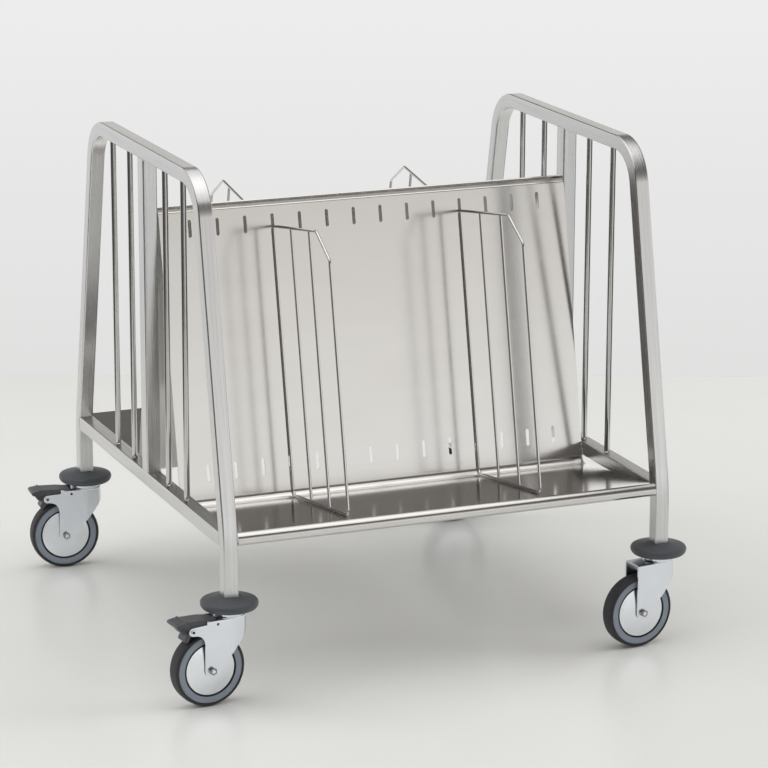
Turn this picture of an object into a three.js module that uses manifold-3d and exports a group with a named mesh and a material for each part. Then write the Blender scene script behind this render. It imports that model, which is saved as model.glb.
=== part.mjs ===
// Plate trolley: two leaning plate racks of folded sheet, back to back between tubular side frames,
// with removable wire dividers, on four swivel castors. The two left-hand castors have a foot brake.
// Millimetres, +Z up. The front is towards -Y and the floor is at z = 0.
import * as THREE from 'three';
import { mergeVertices } from 'three/addons/utils/BufferGeometryUtils.js';
import Module from 'manifold-3d';

const wasm = await Module();
wasm.setup();

// Clearances and cuts
const FIT_GAP = 0.3; // between pieces that touch or are welded
const RUN_GAP = 0.5; // between pieces that turn or slide on each other
const OVERRUN = 5; // how far a cutter runs past what it cuts

// Side frames: one bent square tube each, with a lower rail, a centre post and round guard rods
const FRAME_WIDTH = 800; // over both side frames
const FRAME_DEPTH = 800; // over the legs, front to back
const LEG_HEIGHT = 672.2; // from the end of a leg to the top of the frame
const TUBE = 25;
const TUBE_WALL = 1.5;
const TUBE_EDGE_R = 2.5;
const LEAN = 11.5; // degrees, of the upper legs and of the plate panels
const KNEE_RISE = 89.2; // from the end of a leg to the corner of its gentle bend
const KNEE_R = 420;
const TOP_BEND_R = 72;
const RAIL_RISE = 105.2; // from the end of a leg to the top of the lower rail
const POST_DEPTH = 30;
const ROD_D = 10;
const ROD_PITCH = 92;
const RODS_BESIDE_POST = 2;

// Plate racks: panel and tray folded from one sheet
const SHEET = 1.5;
const TRAY_SLOPE = 8; // degrees, up towards the open side
const NOSE_R = 11; // outside of the roll along the open edge
const NOSE_WRAP = 225; // degrees
const FOLD_R = 14; // inside of the fold between panel and tray
const PANEL_RISE = 462; // from the top of the rail to the top of the panel
const HEM_R = 4.25; // outside of the hem along the top of the panel
const HEM_TAIL = 8;
const HEM_SPACE = 12; // between the two hems
const SLOT_COUNT = 14;
const SLOT_PITCH = 49.4;
const SLOT_LENGTH = 30;
const SLOT_WIDTH = 5.8;
const UPPER_ROW_DROP = 42; // from the top of the panel to the centre of the upper slots
const LOWER_ROW_RISE = 56; // from the fold's corner to the centre of the lower slots

// Dividers: bent wire, hooked into an upper and a lower slot
const WIRE_D = 4.8;
const WIRE_PITCH = 85;
const WIRE_GAPS = 3; // spaces between the upright wires
const DIVIDER_SLOTS = [3, 10]; // counted from the left, from 0
const TOP_WIRE_SLOPE = 9; // degrees
const BEVEL_BACK = 52;
const BEVEL_DROP = 45;
const BEVEL_BEND_R = 14;
const FOOT_BEND_R = 10;
const HOOK_DROP = 7; // of the hook's wire below the middle of its slot
const HOOK_BEND_R = 4.5;
const HOOK_REACH = 9; // behind the face of the panel
const HOOK_TAIL = 12;
const WELD_SHARE = 0.5; // of the wire's radius, that an upright's end stops short of the cross wire's middle

// Castors
const WHEEL_D = 125;
const WHEEL_WIDTH = 28;
const TRAIL = 41; // from the swivel axis to the axle
const TYRE_THICKNESS = 5.2;
const TYRE_SHOULDER_R = 4.5;
const TYRE_CROWN = 0.6;
const RIM_WIDTH = 26;
const RIM_RECESS = 3;
const HUB_R = 10;
const GUARD_D = 87;
const GUARD_SHEET = 1.5;
const GUARD_DOME = 3.8;
const GUARD_GROOVE = 2; // between the guard's edge and the rim
const BOLT_D = 8;
const BOLT_HEAD_D = 13;
const BOLT_HEAD_HEIGHT = 6;
const FORK_WALL = 2.5;
const FORK_HALF_WIDTH = 19.5;
const FORK_FRONT = 28.5; // ahead of the swivel axis
const FORK_FRONT_R = 17;
const FORK_FRONT_HEIGHT = 23;
const FORK_TIP_R = 12;
const FORK_HEAD_HEIGHT = 3;
const FORK_HEAD_BACK = 27;
const FORK_CURVE_X_SHARE = 0.1; // of the fork's front, ahead of the swivel axis
const FORK_CURVE_Z_SHARE = 0.32; // of the height from the axle to the fork's top
const WHEEL_TOP_SPACE = 23; // from the tyre to the top of the fork
const RACE_R = 26;
const RACE_HEIGHT = 9;
const KINGPIN_R = 6;
const KINGPIN_HEAD_R = 12;
const KINGPIN_HEAD_HEIGHT = 6;
const STEM_NECK_R = 7;
const PLUG_LENGTH = 45;
const PLUG_CLEARANCE = 0.6;
const BUMPER_D = 95;
const BUMPER_HEIGHT = 19.7;
const BUMPER_TOP_R = 18.5;
// The bumper's rim: shares of its radius, and of its height, from the bottom face outwards and up
const BUMPER_RIM_SHARES = [[0.82, 0], [0.95, 0.15], [1, 0.43], [0.97, 0.66], [0.82, 0.84]];

// Foot brakes
const PIN_BACK = 33.5; // of the pedal's pin behind the axle
const PIN_RISE = 70.7; // and above it
const PIN_D = 5;
const PIN_HEAD_D = 8;
const PIN_HEAD_HEIGHT = 1.5;
const LUG_R = 7;
const LUG_ROOT_RISE = 43; // of the lug's root on the fork's back edge, above the axle
const LUG_TOP_SLOPE = 3; // degrees, of the cheek's top edge from the lug to the step
const STEP_AHEAD = 25; // of the pin, where the cheek steps up to the top of the fork
const STOP_HOLE_D = 4.5; // of the hole near the top of the braked forks
const STOP_HOLE_AHEAD = 44.5; // of the pin
const STOP_HOLE_RISE = 6.7; // above the pin
const BRAKE_TRAVEL = 10; // degrees
const SHOE_R = 4;
const SHOE_OFFSET = 12; // of the shoe, across the line from the pin to the axle
const SHOE_HALF_WIDTH = 12;
const PEDAL_LENGTH = 29; // from the pin to the tip of the pad
const PEDAL_RISE = 17.5; // from the pin to the top of the pad
const PEDAL_HALF_WIDTH = 19;
const PEDAL_BODY_LENGTH = 43; // ahead of the pin, between the fork's cheeks
const PEDAL_BOSS_R = 6;
const PAD_START = 10.5;
// Outlines as shares of the pedal's length (or body length, ahead of the pin) and of its rise
const PAD_SHARES = [[-0.9, 0.46], [-1, 0.66], [-0.93, 0.85]];
const BODY_SHARES = [[0.5, 0.95], [1, 0.78], [1, 0.45], [0.27, -0.22], [0, -0.27]];

// The castors' directions at rest, in degrees: 0 trails to the left
const CASTORS = [
  { name: 'front_left', side: -1, end: -1, turn: 7, braked: true },
  { name: 'front_right', side: 1, end: -1, turn: 7, braked: false },
  { name: 'rear_left', side: -1, end: 1, turn: -5, braked: true },
  { name: 'rear_right', side: 1, end: 1, turn: 2, braked: false },
];

// Facets
const ROUND_STEPS = 24; // around wheels and bumpers
const PIN_STEPS = 12; // around rods, pins and stems
const WIRE_STEPS = 3; // per half turn of a wire's section
const CORNER_STEPS = 3; // per quarter turn of a fork's corner
const SLOT_STEPS = 3; // per rounded end of a slot
const TUBE_BEND_STEP = 13; // degrees per facet of a tube's bend
const SMALL_BEND_STEP = 22.5; // the same for sheet and wire
const NOSE_ARCS = 3; // equal bends that make the roll
const HEM_ARCS = 2; // and the hem
const SHOULDER_STEPS = 2; // around the tyre's shoulder
const CURVE_STEPS = 4; // along each curved stretch of an extruded outline
const SAME_POINT = 0.01; // points closer than this are one

// Sizes that follow from the ones above
const WHEEL_R = WHEEL_D / 2;
const forkTopZ = WHEEL_D + WHEEL_TOP_SPACE;
const raceTopZ = forkTopZ + RUN_GAP + RACE_HEIGHT;
const bumperBottomZ = raceTopZ + FIT_GAP;
const bumperTopZ = bumperBottomZ + BUMPER_HEIGHT;
const footZ = bumperTopZ + FIT_GAP;
const frameTopZ = footZ + LEG_HEIGHT;
const kneeZ = footZ + KNEE_RISE;
const railTopZ = footZ + RAIL_RISE;
const panelTopZ = railTopZ + PANEL_RISE;
const frameX = (FRAME_WIDTH - TUBE) / 2; // middle of a side frame
const legY = (FRAME_DEPTH - TUBE) / 2; // middle of a leg's lower end
const rackHalfWidth = FRAME_WIDTH / 2 - TUBE - FIT_GAP;

const STEEL = { color: 0xc4c4c0, roughness: 0.35, metalness: 1 };
const BRIGHT = { color: 0xd2d0cc, roughness: 0.12, metalness: 1 };
const ZINC = { color: 0xc6cbd2, roughness: 0.3, metalness: 1 };
const BUMPER_GREY = { color: 0x4b4e54, roughness: 0.55, metalness: 0 };
const RIM_GREY = { color: 0x7c8490, roughness: 0.45, metalness: 0 };
const TYRE_GREY = { color: 0x3e3d40, roughness: 0.7, metalness: 0 };
const BLACK = { color: 0x2c2d30, roughness: 0.5, metalness: 0 };

const radians = THREE.MathUtils.degToRad;

// A point or direction in the plane x = 0
function inSide(y, z) {
  return new THREE.Vector3(0, y, z);
}

// Where two lines in the plane x = 0 meet
function meet(pointA, directionA, pointB, directionB) {
  const gap = pointB.clone().sub(pointA);
  const cross = directionA.y * directionB.z - directionA.z * directionB.y;
  const along = (gap.y * directionB.z - gap.z * directionB.y) / cross;
  return pointA.clone().addScaledVector(directionA, along);
}

// A closed geometry with shared vertices, no empty triangles and its faces pointing out
function weld(geometry) {
  geometry.deleteAttribute('normal');
  geometry.deleteAttribute('uv');
  const merged = mergeVertices(geometry);
  const place = merged.attributes.position;
  const corner = [new THREE.Vector3(), new THREE.Vector3(), new THREE.Vector3()];
  const kept = [];
  let volume = 0;
  for (let first = 0; first < merged.index.count; first += corner.length) {
    const [a, b, c] = corner.map((_, step) => merged.index.getX(first + step));
    if (a === b || b === c || c === a) continue;
    kept.push(a, b, c);
    [a, b, c].forEach((vertex, step) => corner[step].fromBufferAttribute(place, vertex));
    volume += corner[0].dot(corner[1].clone().cross(corner[2]));
  }
  merged.setIndex(volume < 0 ? kept.reverse() : kept);
  return merged;
}

function toSolid(geometry) {
  const closed = weld(geometry);
  return new wasm.Manifold(new wasm.Mesh({
    numProp: 3,
    vertProperties: new Float32Array(closed.attributes.position.array),
    triVerts: new Uint32Array(closed.index.array),
  }));
}

function fromSolid(solid) {
  const mesh = solid.getMesh();
  const geometry = new THREE.BufferGeometry();
  const xyz = new Float32Array(mesh.numVert * 3);
  for (let vertex = 0; vertex < mesh.numVert; vertex += 1) {
    for (let axis = 0; axis < 3; axis += 1) {
      xyz[vertex * 3 + axis] = mesh.vertProperties[vertex * mesh.numProp + axis];
    }
  }
  geometry.setAttribute('position', new THREE.BufferAttribute(xyz, 3));
  geometry.setIndex([...mesh.triVerts]);
  return geometry;
}

function join(geometries) {
  return fromSolid(geometries.map(toSolid).reduce((all, next) => all.add(next)));
}

function cut(geometry, cutters) {
  return fromSolid(cutters.map(toSolid).reduce((left, cutter) => left.subtract(cutter), toSolid(geometry)));
}

function common(geometryA, geometryB) {
  return fromSolid(toSolid(geometryA).intersect(toSolid(geometryB)));
}

// A path with a chosen list of stations, so that straight runs have no needless facets
class StationPath extends THREE.Curve {
  constructor(stations) {
    super();
    this.stations = stations;
  }

  at(share) {
    return this.stations[Math.round(share * (this.stations.length - 1))];
  }

  getPointAt(share, target = new THREE.Vector3()) {
    return target.copy(this.at(share).point);
  }

  getTangentAt(share, target = new THREE.Vector3()) {
    return target.copy(this.at(share).tangent);
  }
}

// The stations of a path with straight runs between corners that are rounded to the given radii
function bentPath(corners, radii, stepDegrees) {
  const headings = corners.slice(1).map((corner, run) => corner.clone().sub(corners[run]).normalize());
  const stations = [{ point: corners[0].clone(), tangent: headings[0] }];
  const add = (point, tangent) => {
    const last = stations[stations.length - 1];
    if (last.point.distanceTo(point) > SAME_POINT) stations.push({ point, tangent });
  };
  radii.forEach((radius, bend) => {
    const before = headings[bend];
    const after = headings[bend + 1];
    const angle = before.angleTo(after);
    const inward = after.clone().addScaledVector(before, -before.dot(after)).normalize();
    const start = corners[bend + 1].clone().addScaledVector(before, -radius * Math.tan(angle / 2));
    const centre = start.clone().addScaledVector(inward, radius);
    const steps = Math.max(2, Math.round(angle / radians(stepDegrees)));
    for (let step = 0; step <= steps; step += 1) {
      const turned = angle * step / steps;
      const point = centre.clone().addScaledVector(inward, -radius * Math.cos(turned));
      point.addScaledVector(before, radius * Math.sin(turned));
      const tangent = before.clone().multiplyScalar(Math.cos(turned));
      add(point, tangent.addScaledVector(inward, Math.sin(turned)));
    }
  });
  add(corners[corners.length - 1].clone(), headings[headings.length - 1]);
  return new StationPath(stations);
}

// Corners that bentPath rounds to one arc: from one angle to another about a centre in the plane x = 0
function arcCorners(centre, radius, fromAngle, toAngle, count) {
  const half = (toAngle - fromAngle) / count / 2;
  const reach = radius / Math.cos(half);
  return Array.from({ length: count }, (_, index) => {
    const angle = fromAngle + half * (2 * index + 1);
    return centre.clone().add(inSide(Math.cos(angle), Math.sin(angle)).multiplyScalar(reach));
  });
}

function roundedSquare(width, depth, edgeR) {
  const x = width / 2;
  const y = depth / 2;
  const shape = new THREE.Shape();
  shape.moveTo(-x + edgeR, -y);
  shape.lineTo(x - edgeR, -y);
  shape.lineTo(x, -y + edgeR);
  shape.lineTo(x, y - edgeR);
  shape.lineTo(x - edgeR, y);
  shape.lineTo(-x + edgeR, y);
  shape.lineTo(-x, y - edgeR);
  shape.lineTo(-x, -y + edgeR);
  shape.closePath();
  return shape;
}

function squareHole(width, depth) {
  const x = width / 2;
  const y = depth / 2;
  return new THREE.Path([
    new THREE.Vector2(-x, -y),
    new THREE.Vector2(-x, y),
    new THREE.Vector2(x, y),
    new THREE.Vector2(x, -y),
  ]);
}

function tubeSection(width, depth) {
  const shape = roundedSquare(width, depth, TUBE_EDGE_R);
  shape.holes.push(squareHole(width - 2 * TUBE_WALL, depth - 2 * TUBE_WALL));
  return shape;
}

// A straight slot with round ends, length along y, centred
function slotShape(length, width) {
  const r = width / 2;
  const y = length / 2 - r;
  return new THREE.Shape([
    ...arcPoints(0, y, r, 0, 180, SLOT_STEPS),
    ...arcPoints(0, -y, r, 180, 360, SLOT_STEPS),
  ].map(([px, py]) => new THREE.Vector2(px, py)));
}

function circleShape(radius) {
  const shape = new THREE.Shape();
  shape.absarc(0, 0, radius, 0, 2 * Math.PI);
  return shape;
}

function sweep(shape, path, curveSegments = 1) {
  return new THREE.ExtrudeGeometry(shape, {
    steps: path.stations.length - 1,
    extrudePath: path,
    curveSegments,
  });
}

function extrude(shape, depth) {
  const options = { depth, bevelEnabled: false, curveSegments: CURVE_STEPS };
  const geometry = new THREE.ExtrudeGeometry(shape, options);
  return geometry.translate(0, 0, -depth / 2);
}

// Turns an extrusion of a side view, drawn with y and z as its x and y, so that its depth lies along x
function fromSideYZ(geometry) {
  const basis = new THREE.Matrix4().makeBasis(inSide(1, 0), inSide(0, 1), new THREE.Vector3(1, 0, 0));
  return geometry.applyMatrix4(basis);
}

// The same for a side view drawn with x and z as its x and y, with its depth along y
function fromSideXZ(geometry) {
  return geometry.rotateX(Math.PI / 2);
}

// A turned piece with a vertical axis, from [radius, z] points
function turnedUpright(profile, steps) {
  const points = profile.map(([radius, z]) => new THREE.Vector2(radius, z));
  return new THREE.LatheGeometry(points, steps).rotateX(Math.PI / 2);
}

// A turned piece with its axis along y, from [radius, y] points
function turnedAcross(profile, steps) {
  const points = profile.map(([radius, y]) => new THREE.Vector2(radius, y));
  return new THREE.LatheGeometry(points, steps);
}

function arcPoints(centreR, centreY, radius, fromDegrees, toDegrees, steps) {
  return Array.from({ length: steps + 1 }, (_, step) => {
    const angle = radians(fromDegrees + (toDegrees - fromDegrees) * step / steps);
    return [centreR + radius * Math.cos(angle), centreY + radius * Math.sin(angle)];
  });
}

function addMesh(parent, name, geometry, look) {
  const mesh = new THREE.Mesh(weld(geometry), new THREE.MeshStandardMaterial(look));
  mesh.name = name;
  parent.add(mesh);
  return mesh;
}

// The middle line of a side frame's tube, from the front leg's end over the top to the rear leg's end
function framePath() {
  const topZ = frameTopZ - TUBE / 2;
  const topY = legY - (topZ - kneeZ) * Math.tan(radians(LEAN));
  const corners = [
    inSide(-legY, footZ),
    inSide(-legY, kneeZ),
    inSide(-topY, topZ),
    inSide(topY, topZ),
    inSide(legY, kneeZ),
    inSide(legY, footZ),
  ];
  return bentPath(corners, [KNEE_R, TOP_BEND_R, TOP_BEND_R, KNEE_R], TUBE_BEND_STEP);
}

function sideFrame() {
  return sweep(tubeSection(TUBE, TUBE), framePath());
}

// The lower rail ends square against the legs, so the legs' shape is cut out of it
function sideRail() {
  const rail = extrude(tubeSection(TUBE, TUBE), 2 * legY).rotateX(Math.PI / 2);
  rail.translate(0, 0, railTopZ - TUBE / 2);
  const grown = TUBE + 2 * FIT_GAP;
  return cut(rail, [sweep(roundedSquare(grown, grown, TUBE_EDGE_R), framePath())]);
}

const uprightBottomZ = railTopZ + FIT_GAP;
const uprightHeight = frameTopZ - TUBE - FIT_GAP - uprightBottomZ;
const uprightMiddleZ = uprightBottomZ + uprightHeight / 2;

function centrePost() {
  return extrude(tubeSection(TUBE, POST_DEPTH), uprightHeight).translate(0, 0, uprightMiddleZ);
}

function guardRod() {
  const rod = new THREE.CylinderGeometry(ROD_D / 2, ROD_D / 2, uprightHeight, PIN_STEPS);
  return rod.rotateX(Math.PI / 2).translate(0, 0, uprightMiddleZ);
}

// The front rack's section. Its faces are two lines: the panel's and the tray's upper face.
const up = inSide(Math.sin(radians(LEAN)), Math.cos(radians(LEAN))); // along the panel
const out = inSide(-Math.cos(radians(TRAY_SLOPE)), Math.sin(radians(TRAY_SLOPE))); // along the tray
const panelNormal = inSide(-up.z, up.y);
const trayNormal = inSide(out.z, -out.y);
const hemMiddleR = HEM_R - SHEET / 2;
const noseMiddleR = NOSE_R - SHEET / 2;
const panelTop = inSide(-HEM_SPACE / 2 - 2 * HEM_R, panelTopZ - HEM_R); // on the panel's face
const noseCentre = inSide(-FRAME_DEPTH / 2 + NOSE_R, railTopZ - NOSE_R);
const trayEdge = noseCentre.clone().addScaledVector(trayNormal, NOSE_R); // on the tray's face
const fold = meet(panelTop, up, trayEdge, out); // where the two faces would meet

function rackSection() {
  const hemCentre = panelTop.clone().addScaledVector(panelNormal, -HEM_R);
  const hemStart = Math.atan2(-panelNormal.z, -panelNormal.y);
  const hemEnd = Math.atan2(panelNormal.z, panelNormal.y);
  const tail = hemCentre.clone().addScaledVector(panelNormal, -hemMiddleR).addScaledVector(up, -HEM_TAIL);
  const hem = arcCorners(hemCentre, hemMiddleR, hemStart, hemEnd, HEM_ARCS);
  const panelMiddle = panelTop.clone().addScaledVector(panelNormal, -SHEET / 2);
  const trayMiddle = trayEdge.clone().addScaledVector(trayNormal, -SHEET / 2);
  const foldMiddle = meet(panelMiddle, up, trayMiddle, out);
  const noseStart = Math.atan2(trayNormal.z, trayNormal.y);
  const noseEnd = noseStart + radians(NOSE_WRAP);
  const nose = arcCorners(noseCentre, noseMiddleR, noseStart, noseEnd, NOSE_ARCS);
  const endHeading = inSide(Math.cos(noseEnd), Math.sin(noseEnd));
  const end = noseCentre.clone().addScaledVector(endHeading, noseMiddleR);
  const corners = [tail, ...hem, foldMiddle, ...nose, end];
  const radii = [...hem.map(() => hemMiddleR), FOLD_R + SHEET / 2, ...nose.map(() => noseMiddleR)];
  return bentPath(corners, radii, SMALL_BEND_STEP);
}

// The sheet's outline: its middle line moved half its thickness to either side
function rackShape() {
  const { stations } = rackSection();
  const edge = (side) => stations.map(({ point, tangent }) => new THREE.Vector2(
    point.y - side * tangent.z * SHEET / 2,
    point.z + side * tangent.y * SHEET / 2,
  ));
  return new THREE.Shape([...edge(1), ...edge(-1).reverse()]);
}

// How far up the panel's face the two rows of slots have their centres, from the fold
const panelLength = panelTop.distanceTo(fold) + HEM_R;
const slotRises = [LOWER_ROW_RISE, panelLength - UPPER_ROW_DROP];

function slotX(index) {
  return (index - (SLOT_COUNT - 1) / 2) * SLOT_PITCH;
}

function plateRack() {
  const sheet = fromSideYZ(extrude(rackShape(), 2 * rackHalfWidth));
  const cutters = [];
  for (const rise of slotRises) {
    for (let index = 0; index < SLOT_COUNT; index += 1) {
      const cutter = extrude(slotShape(SLOT_LENGTH, SLOT_WIDTH), 2 * OVERRUN);
      const centre = fold.clone().addScaledVector(up, rise).setX(slotX(index));
      const place = new THREE.Matrix4().makeBasis(new THREE.Vector3(1, 0, 0), up, panelNormal);
      cutters.push(cutter.applyMatrix4(place.setPosition(centre)));
    }
  }
  return cut(sheet, cutters);
}

// A divider in the plane x = 0, resting on the tray and against the panel
function wireDivider() {
  const wireR = WIRE_D / 2;
  const lift = wireR + FIT_GAP;
  const foot = meet(
    fold.clone().addScaledVector(panelNormal, lift),
    up,
    fold.clone().addScaledVector(trayNormal, lift),
    out,
  );
  const hooks = slotRises.map((rise) => {
    const face = fold.clone().addScaledVector(up, rise - HOOK_DROP);
    return meet(face, panelNormal, foot, up);
  });
  const topWire = inSide(-Math.cos(radians(TOP_WIRE_SLOPE)), Math.sin(radians(TOP_WIRE_SLOPE)));
  const footOut = foot.clone().addScaledVector(out, WIRE_PITCH * WIRE_GAPS);
  const topOut = meet(hooks[1], topWire, footOut, up);
  const bevelStart = topOut.clone().addScaledVector(topWire, -BEVEL_BACK);
  const bevelEnd = topOut.clone().addScaledVector(up, -BEVEL_DROP);
  const tailLine = fold.clone().addScaledVector(panelNormal, -HOOK_REACH);
  const topBehind = meet(hooks[1], topWire, tailLine, up);
  const lowBehind = meet(hooks[0], panelNormal, tailLine, up);
  const tailEnd = (behind) => behind.clone().addScaledVector(up, -HOOK_TAIL);
  const weldStop = wireR * WELD_SHARE;
  const innerTop = hooks[1].clone().addScaledVector(up, -weldStop);
  const wire = (corners, radii) => {
    return sweep(circleShape(wireR), bentPath(corners, radii, SMALL_BEND_STEP), WIRE_STEPS);
  };
  const loop = [tailEnd(topBehind), topBehind, bevelStart, bevelEnd, footOut, foot, innerTop];
  const loopRadii = [HOOK_BEND_R, BEVEL_BEND_R, BEVEL_BEND_R, FOOT_BEND_R, FOLD_R - lift];
  const lowHook = [hooks[0], lowBehind, tailEnd(lowBehind)];
  const wires = [wire(loop, loopRadii), wire(lowHook, [HOOK_BEND_R])];
  for (let index = 1; index < WIRE_GAPS; index += 1) {
    const bottom = foot.clone().addScaledVector(out, WIRE_PITCH * index);
    const top = meet(bottom, up, hooks[1], topWire).addScaledVector(up, -weldStop);
    wires.push(wire([bottom.addScaledVector(up, weldStop), top], []));
  }
  return join(wires);
}

// Castors are drawn with the swivel axis at x = y = 0 and the wheel trailing towards -X
const axleX = -TRAIL;
const axleZ = WHEEL_R;
const forkInner = FORK_HALF_WIDTH - FORK_WALL;
const rimR = WHEEL_R - TYRE_THICKNESS - FIT_GAP;
const pinX = axleX - PIN_BACK;
const pinZ = axleZ + PIN_RISE;

function bumper() {
  const bumperR = BUMPER_D / 2;
  const holeR = STEM_NECK_R + FIT_GAP;
  const rim = BUMPER_RIM_SHARES.map(([r, z]) => [bumperR * r, bumperBottomZ + BUMPER_HEIGHT * z]);
  const profile = [
    [holeR, bumperBottomZ],
    ...rim,
    [BUMPER_TOP_R, bumperTopZ],
    [holeR, bumperTopZ],
    [holeR, bumperBottomZ],
  ];
  return turnedUpright(profile, ROUND_STEPS);
}

// Kingpin, upper ball race, neck and the plug inside the leg, all in one turned piece
function stem() {
  const headTopZ = forkTopZ - FORK_HEAD_HEIGHT - RUN_GAP;
  const plugR = TUBE / 2 - TUBE_WALL - PLUG_CLEARANCE;
  return turnedUpright([
    [0, headTopZ - KINGPIN_HEAD_HEIGHT],
    [KINGPIN_HEAD_R, headTopZ - KINGPIN_HEAD_HEIGHT],
    [KINGPIN_HEAD_R, headTopZ],
    [KINGPIN_R, headTopZ],
    [KINGPIN_R, forkTopZ + RUN_GAP],
    [RACE_R, forkTopZ + RUN_GAP],
    [RACE_R, raceTopZ],
    [STEM_NECK_R, raceTopZ],
    [STEM_NECK_R, footZ],
    [plugR, footZ],
    [plugR, footZ + PLUG_LENGTH],
    [0, footZ + PLUG_LENGTH],
  ], PIN_STEPS);
}

// The fork's plan: two cheeks joined by a rounded front, from the given back end
function forkPlan(backX, inset) {
  const y = FORK_HALF_WIDTH - inset;
  const front = FORK_FRONT - inset;
  const r = FORK_FRONT_R - inset;
  const points = [
    [backX, -y],
    ...arcPoints(front - r, -y + r, r, -90, 0, CORNER_STEPS),
    ...arcPoints(front - r, y - r, r, 0, 90, CORNER_STEPS),
    [backX, y],
  ];
  return points.map(([px, py]) => new THREE.Vector2(px, py));
}

// The fork's side view, with a lug for the pedal's pin where it has a brake
function forkSide(braked) {
  const shape = new THREE.Shape();
  shape.moveTo(FORK_FRONT, forkTopZ);
  if (braked) {
    const lugTopZ = pinZ + LUG_R;
    shape.lineTo(pinX + STEP_AHEAD, forkTopZ);
    shape.lineTo(pinX + STEP_AHEAD, lugTopZ + STEP_AHEAD * Math.tan(radians(LUG_TOP_SLOPE)));
    shape.lineTo(pinX, lugTopZ);
    shape.absarc(pinX, pinZ, LUG_R, Math.PI / 2, 3 * Math.PI / 2);
    shape.quadraticCurveTo(axleX - FORK_TIP_R, pinZ - LUG_R, axleX - FORK_TIP_R, axleZ + LUG_ROOT_RISE);
  } else {
    shape.lineTo(axleX - FORK_TIP_R, forkTopZ);
  }
  shape.lineTo(axleX - FORK_TIP_R, axleZ);
  shape.absarc(axleX, axleZ, FORK_TIP_R, Math.PI, 2 * Math.PI);
  shape.quadraticCurveTo(
    FORK_FRONT * FORK_CURVE_X_SHARE,
    axleZ + (forkTopZ - axleZ) * FORK_CURVE_Z_SHARE,
    FORK_FRONT,
    forkTopZ - FORK_FRONT_HEIGHT,
  );
  return shape;
}

function crossHole(x, z, radius) {
  const hole = turnedAcross([
    [0, -FORK_HALF_WIDTH - OVERRUN],
    [radius, -FORK_HALF_WIDTH - OVERRUN],
    [radius, FORK_HALF_WIDTH + OVERRUN],
    [0, FORK_HALF_WIDTH + OVERRUN],
  ], PIN_STEPS);
  return hole.translate(x, 0, z);
}

function fork(braked) {
  const backX = pinX - LUG_R - OVERRUN;
  const wall = new THREE.Shape([...forkPlan(backX, 0), ...forkPlan(backX, FORK_WALL).reverse()]);
  const height = forkTopZ + OVERRUN;
  const walls = extrude(wall, height).translate(0, 0, height / 2);
  const head = new THREE.Shape(forkPlan(-FORK_HEAD_BACK, FORK_WALL / 2));
  head.holes.push(circleShape(KINGPIN_R + RUN_GAP));
  const headZ = forkTopZ - FORK_HEAD_HEIGHT / 2;
  const shell = join([walls, extrude(head, FORK_HEAD_HEIGHT).translate(0, 0, headZ)]);
  const side = fromSideXZ(extrude(forkSide(braked), 2 * (FORK_HALF_WIDTH + OVERRUN)));
  const holes = [crossHole(axleX, axleZ, BOLT_D / 2 + FIT_GAP)];
  if (braked) {
    holes.push(crossHole(pinX, pinZ, PIN_D / 2 + FIT_GAP));
    holes.push(crossHole(pinX + STOP_HOLE_AHEAD, pinZ + STOP_HOLE_RISE, STOP_HOLE_D / 2));
  }
  return cut(common(shell, side), holes);
}

function axle() {
  const inner = FORK_HALF_WIDTH + FIT_GAP;
  const outer = inner + BOLT_HEAD_HEIGHT;
  return turnedAcross([
    [0, -outer],
    [BOLT_HEAD_D / 2, -outer],
    [BOLT_HEAD_D / 2, -inner],
    [BOLT_D / 2, -inner],
    [BOLT_D / 2, inner],
    [BOLT_HEAD_D / 2, inner],
    [BOLT_HEAD_D / 2, outer],
    [0, outer],
  ], PIN_STEPS).translate(axleX, 0, axleZ);
}

// Mirrors a half profile, given from the middle outwards, into a closed one
function bothSides(half) {
  const mirrored = half.map(([radius, y]) => [radius, -y]).reverse();
  return [...half, ...mirrored, half[0]];
}

function rim() {
  const hubY = forkInner - RUN_GAP;
  const floorY = RIM_WIDTH / 2 - RIM_RECESS;
  const recessR = GUARD_D / 2 + GUARD_GROOVE;
  return turnedAcross(bothSides([
    [rimR, RIM_WIDTH / 2],
    [recessR, RIM_WIDTH / 2],
    [recessR, floorY],
    [HUB_R, floorY],
    [HUB_R, hubY],
    [BOLT_D / 2 + RUN_GAP, hubY],
  ]), ROUND_STEPS).translate(axleX, 0, axleZ);
}

function tyre() {
  const y = WHEEL_WIDTH / 2;
  const shoulderR = WHEEL_R - TYRE_CROWN - TYRE_SHOULDER_R;
  return turnedAcross(bothSides([
    [WHEEL_R, 0],
    ...arcPoints(shoulderR, y - TYRE_SHOULDER_R, TYRE_SHOULDER_R, 0, 90, SHOULDER_STEPS),
    [rimR + FIT_GAP, y],
  ]), ROUND_STEPS).translate(axleX, 0, axleZ);
}

// A domed thread guard on one side of the wheel
function guard(side) {
  const edgeY = RIM_WIDTH / 2 - RIM_RECESS + FIT_GAP;
  const holeR = HUB_R + FIT_GAP;
  return turnedAcross([
    [holeR, side * (edgeY + GUARD_DOME)],
    [GUARD_D / 2, side * edgeY],
    [GUARD_D / 2, side * (edgeY + GUARD_SHEET)],
    [holeR, side * (edgeY + GUARD_DOME + GUARD_SHEET)],
    [holeR, side * (edgeY + GUARD_DOME)],
  ], ROUND_STEPS).translate(axleX, 0, axleZ);
}

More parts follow.
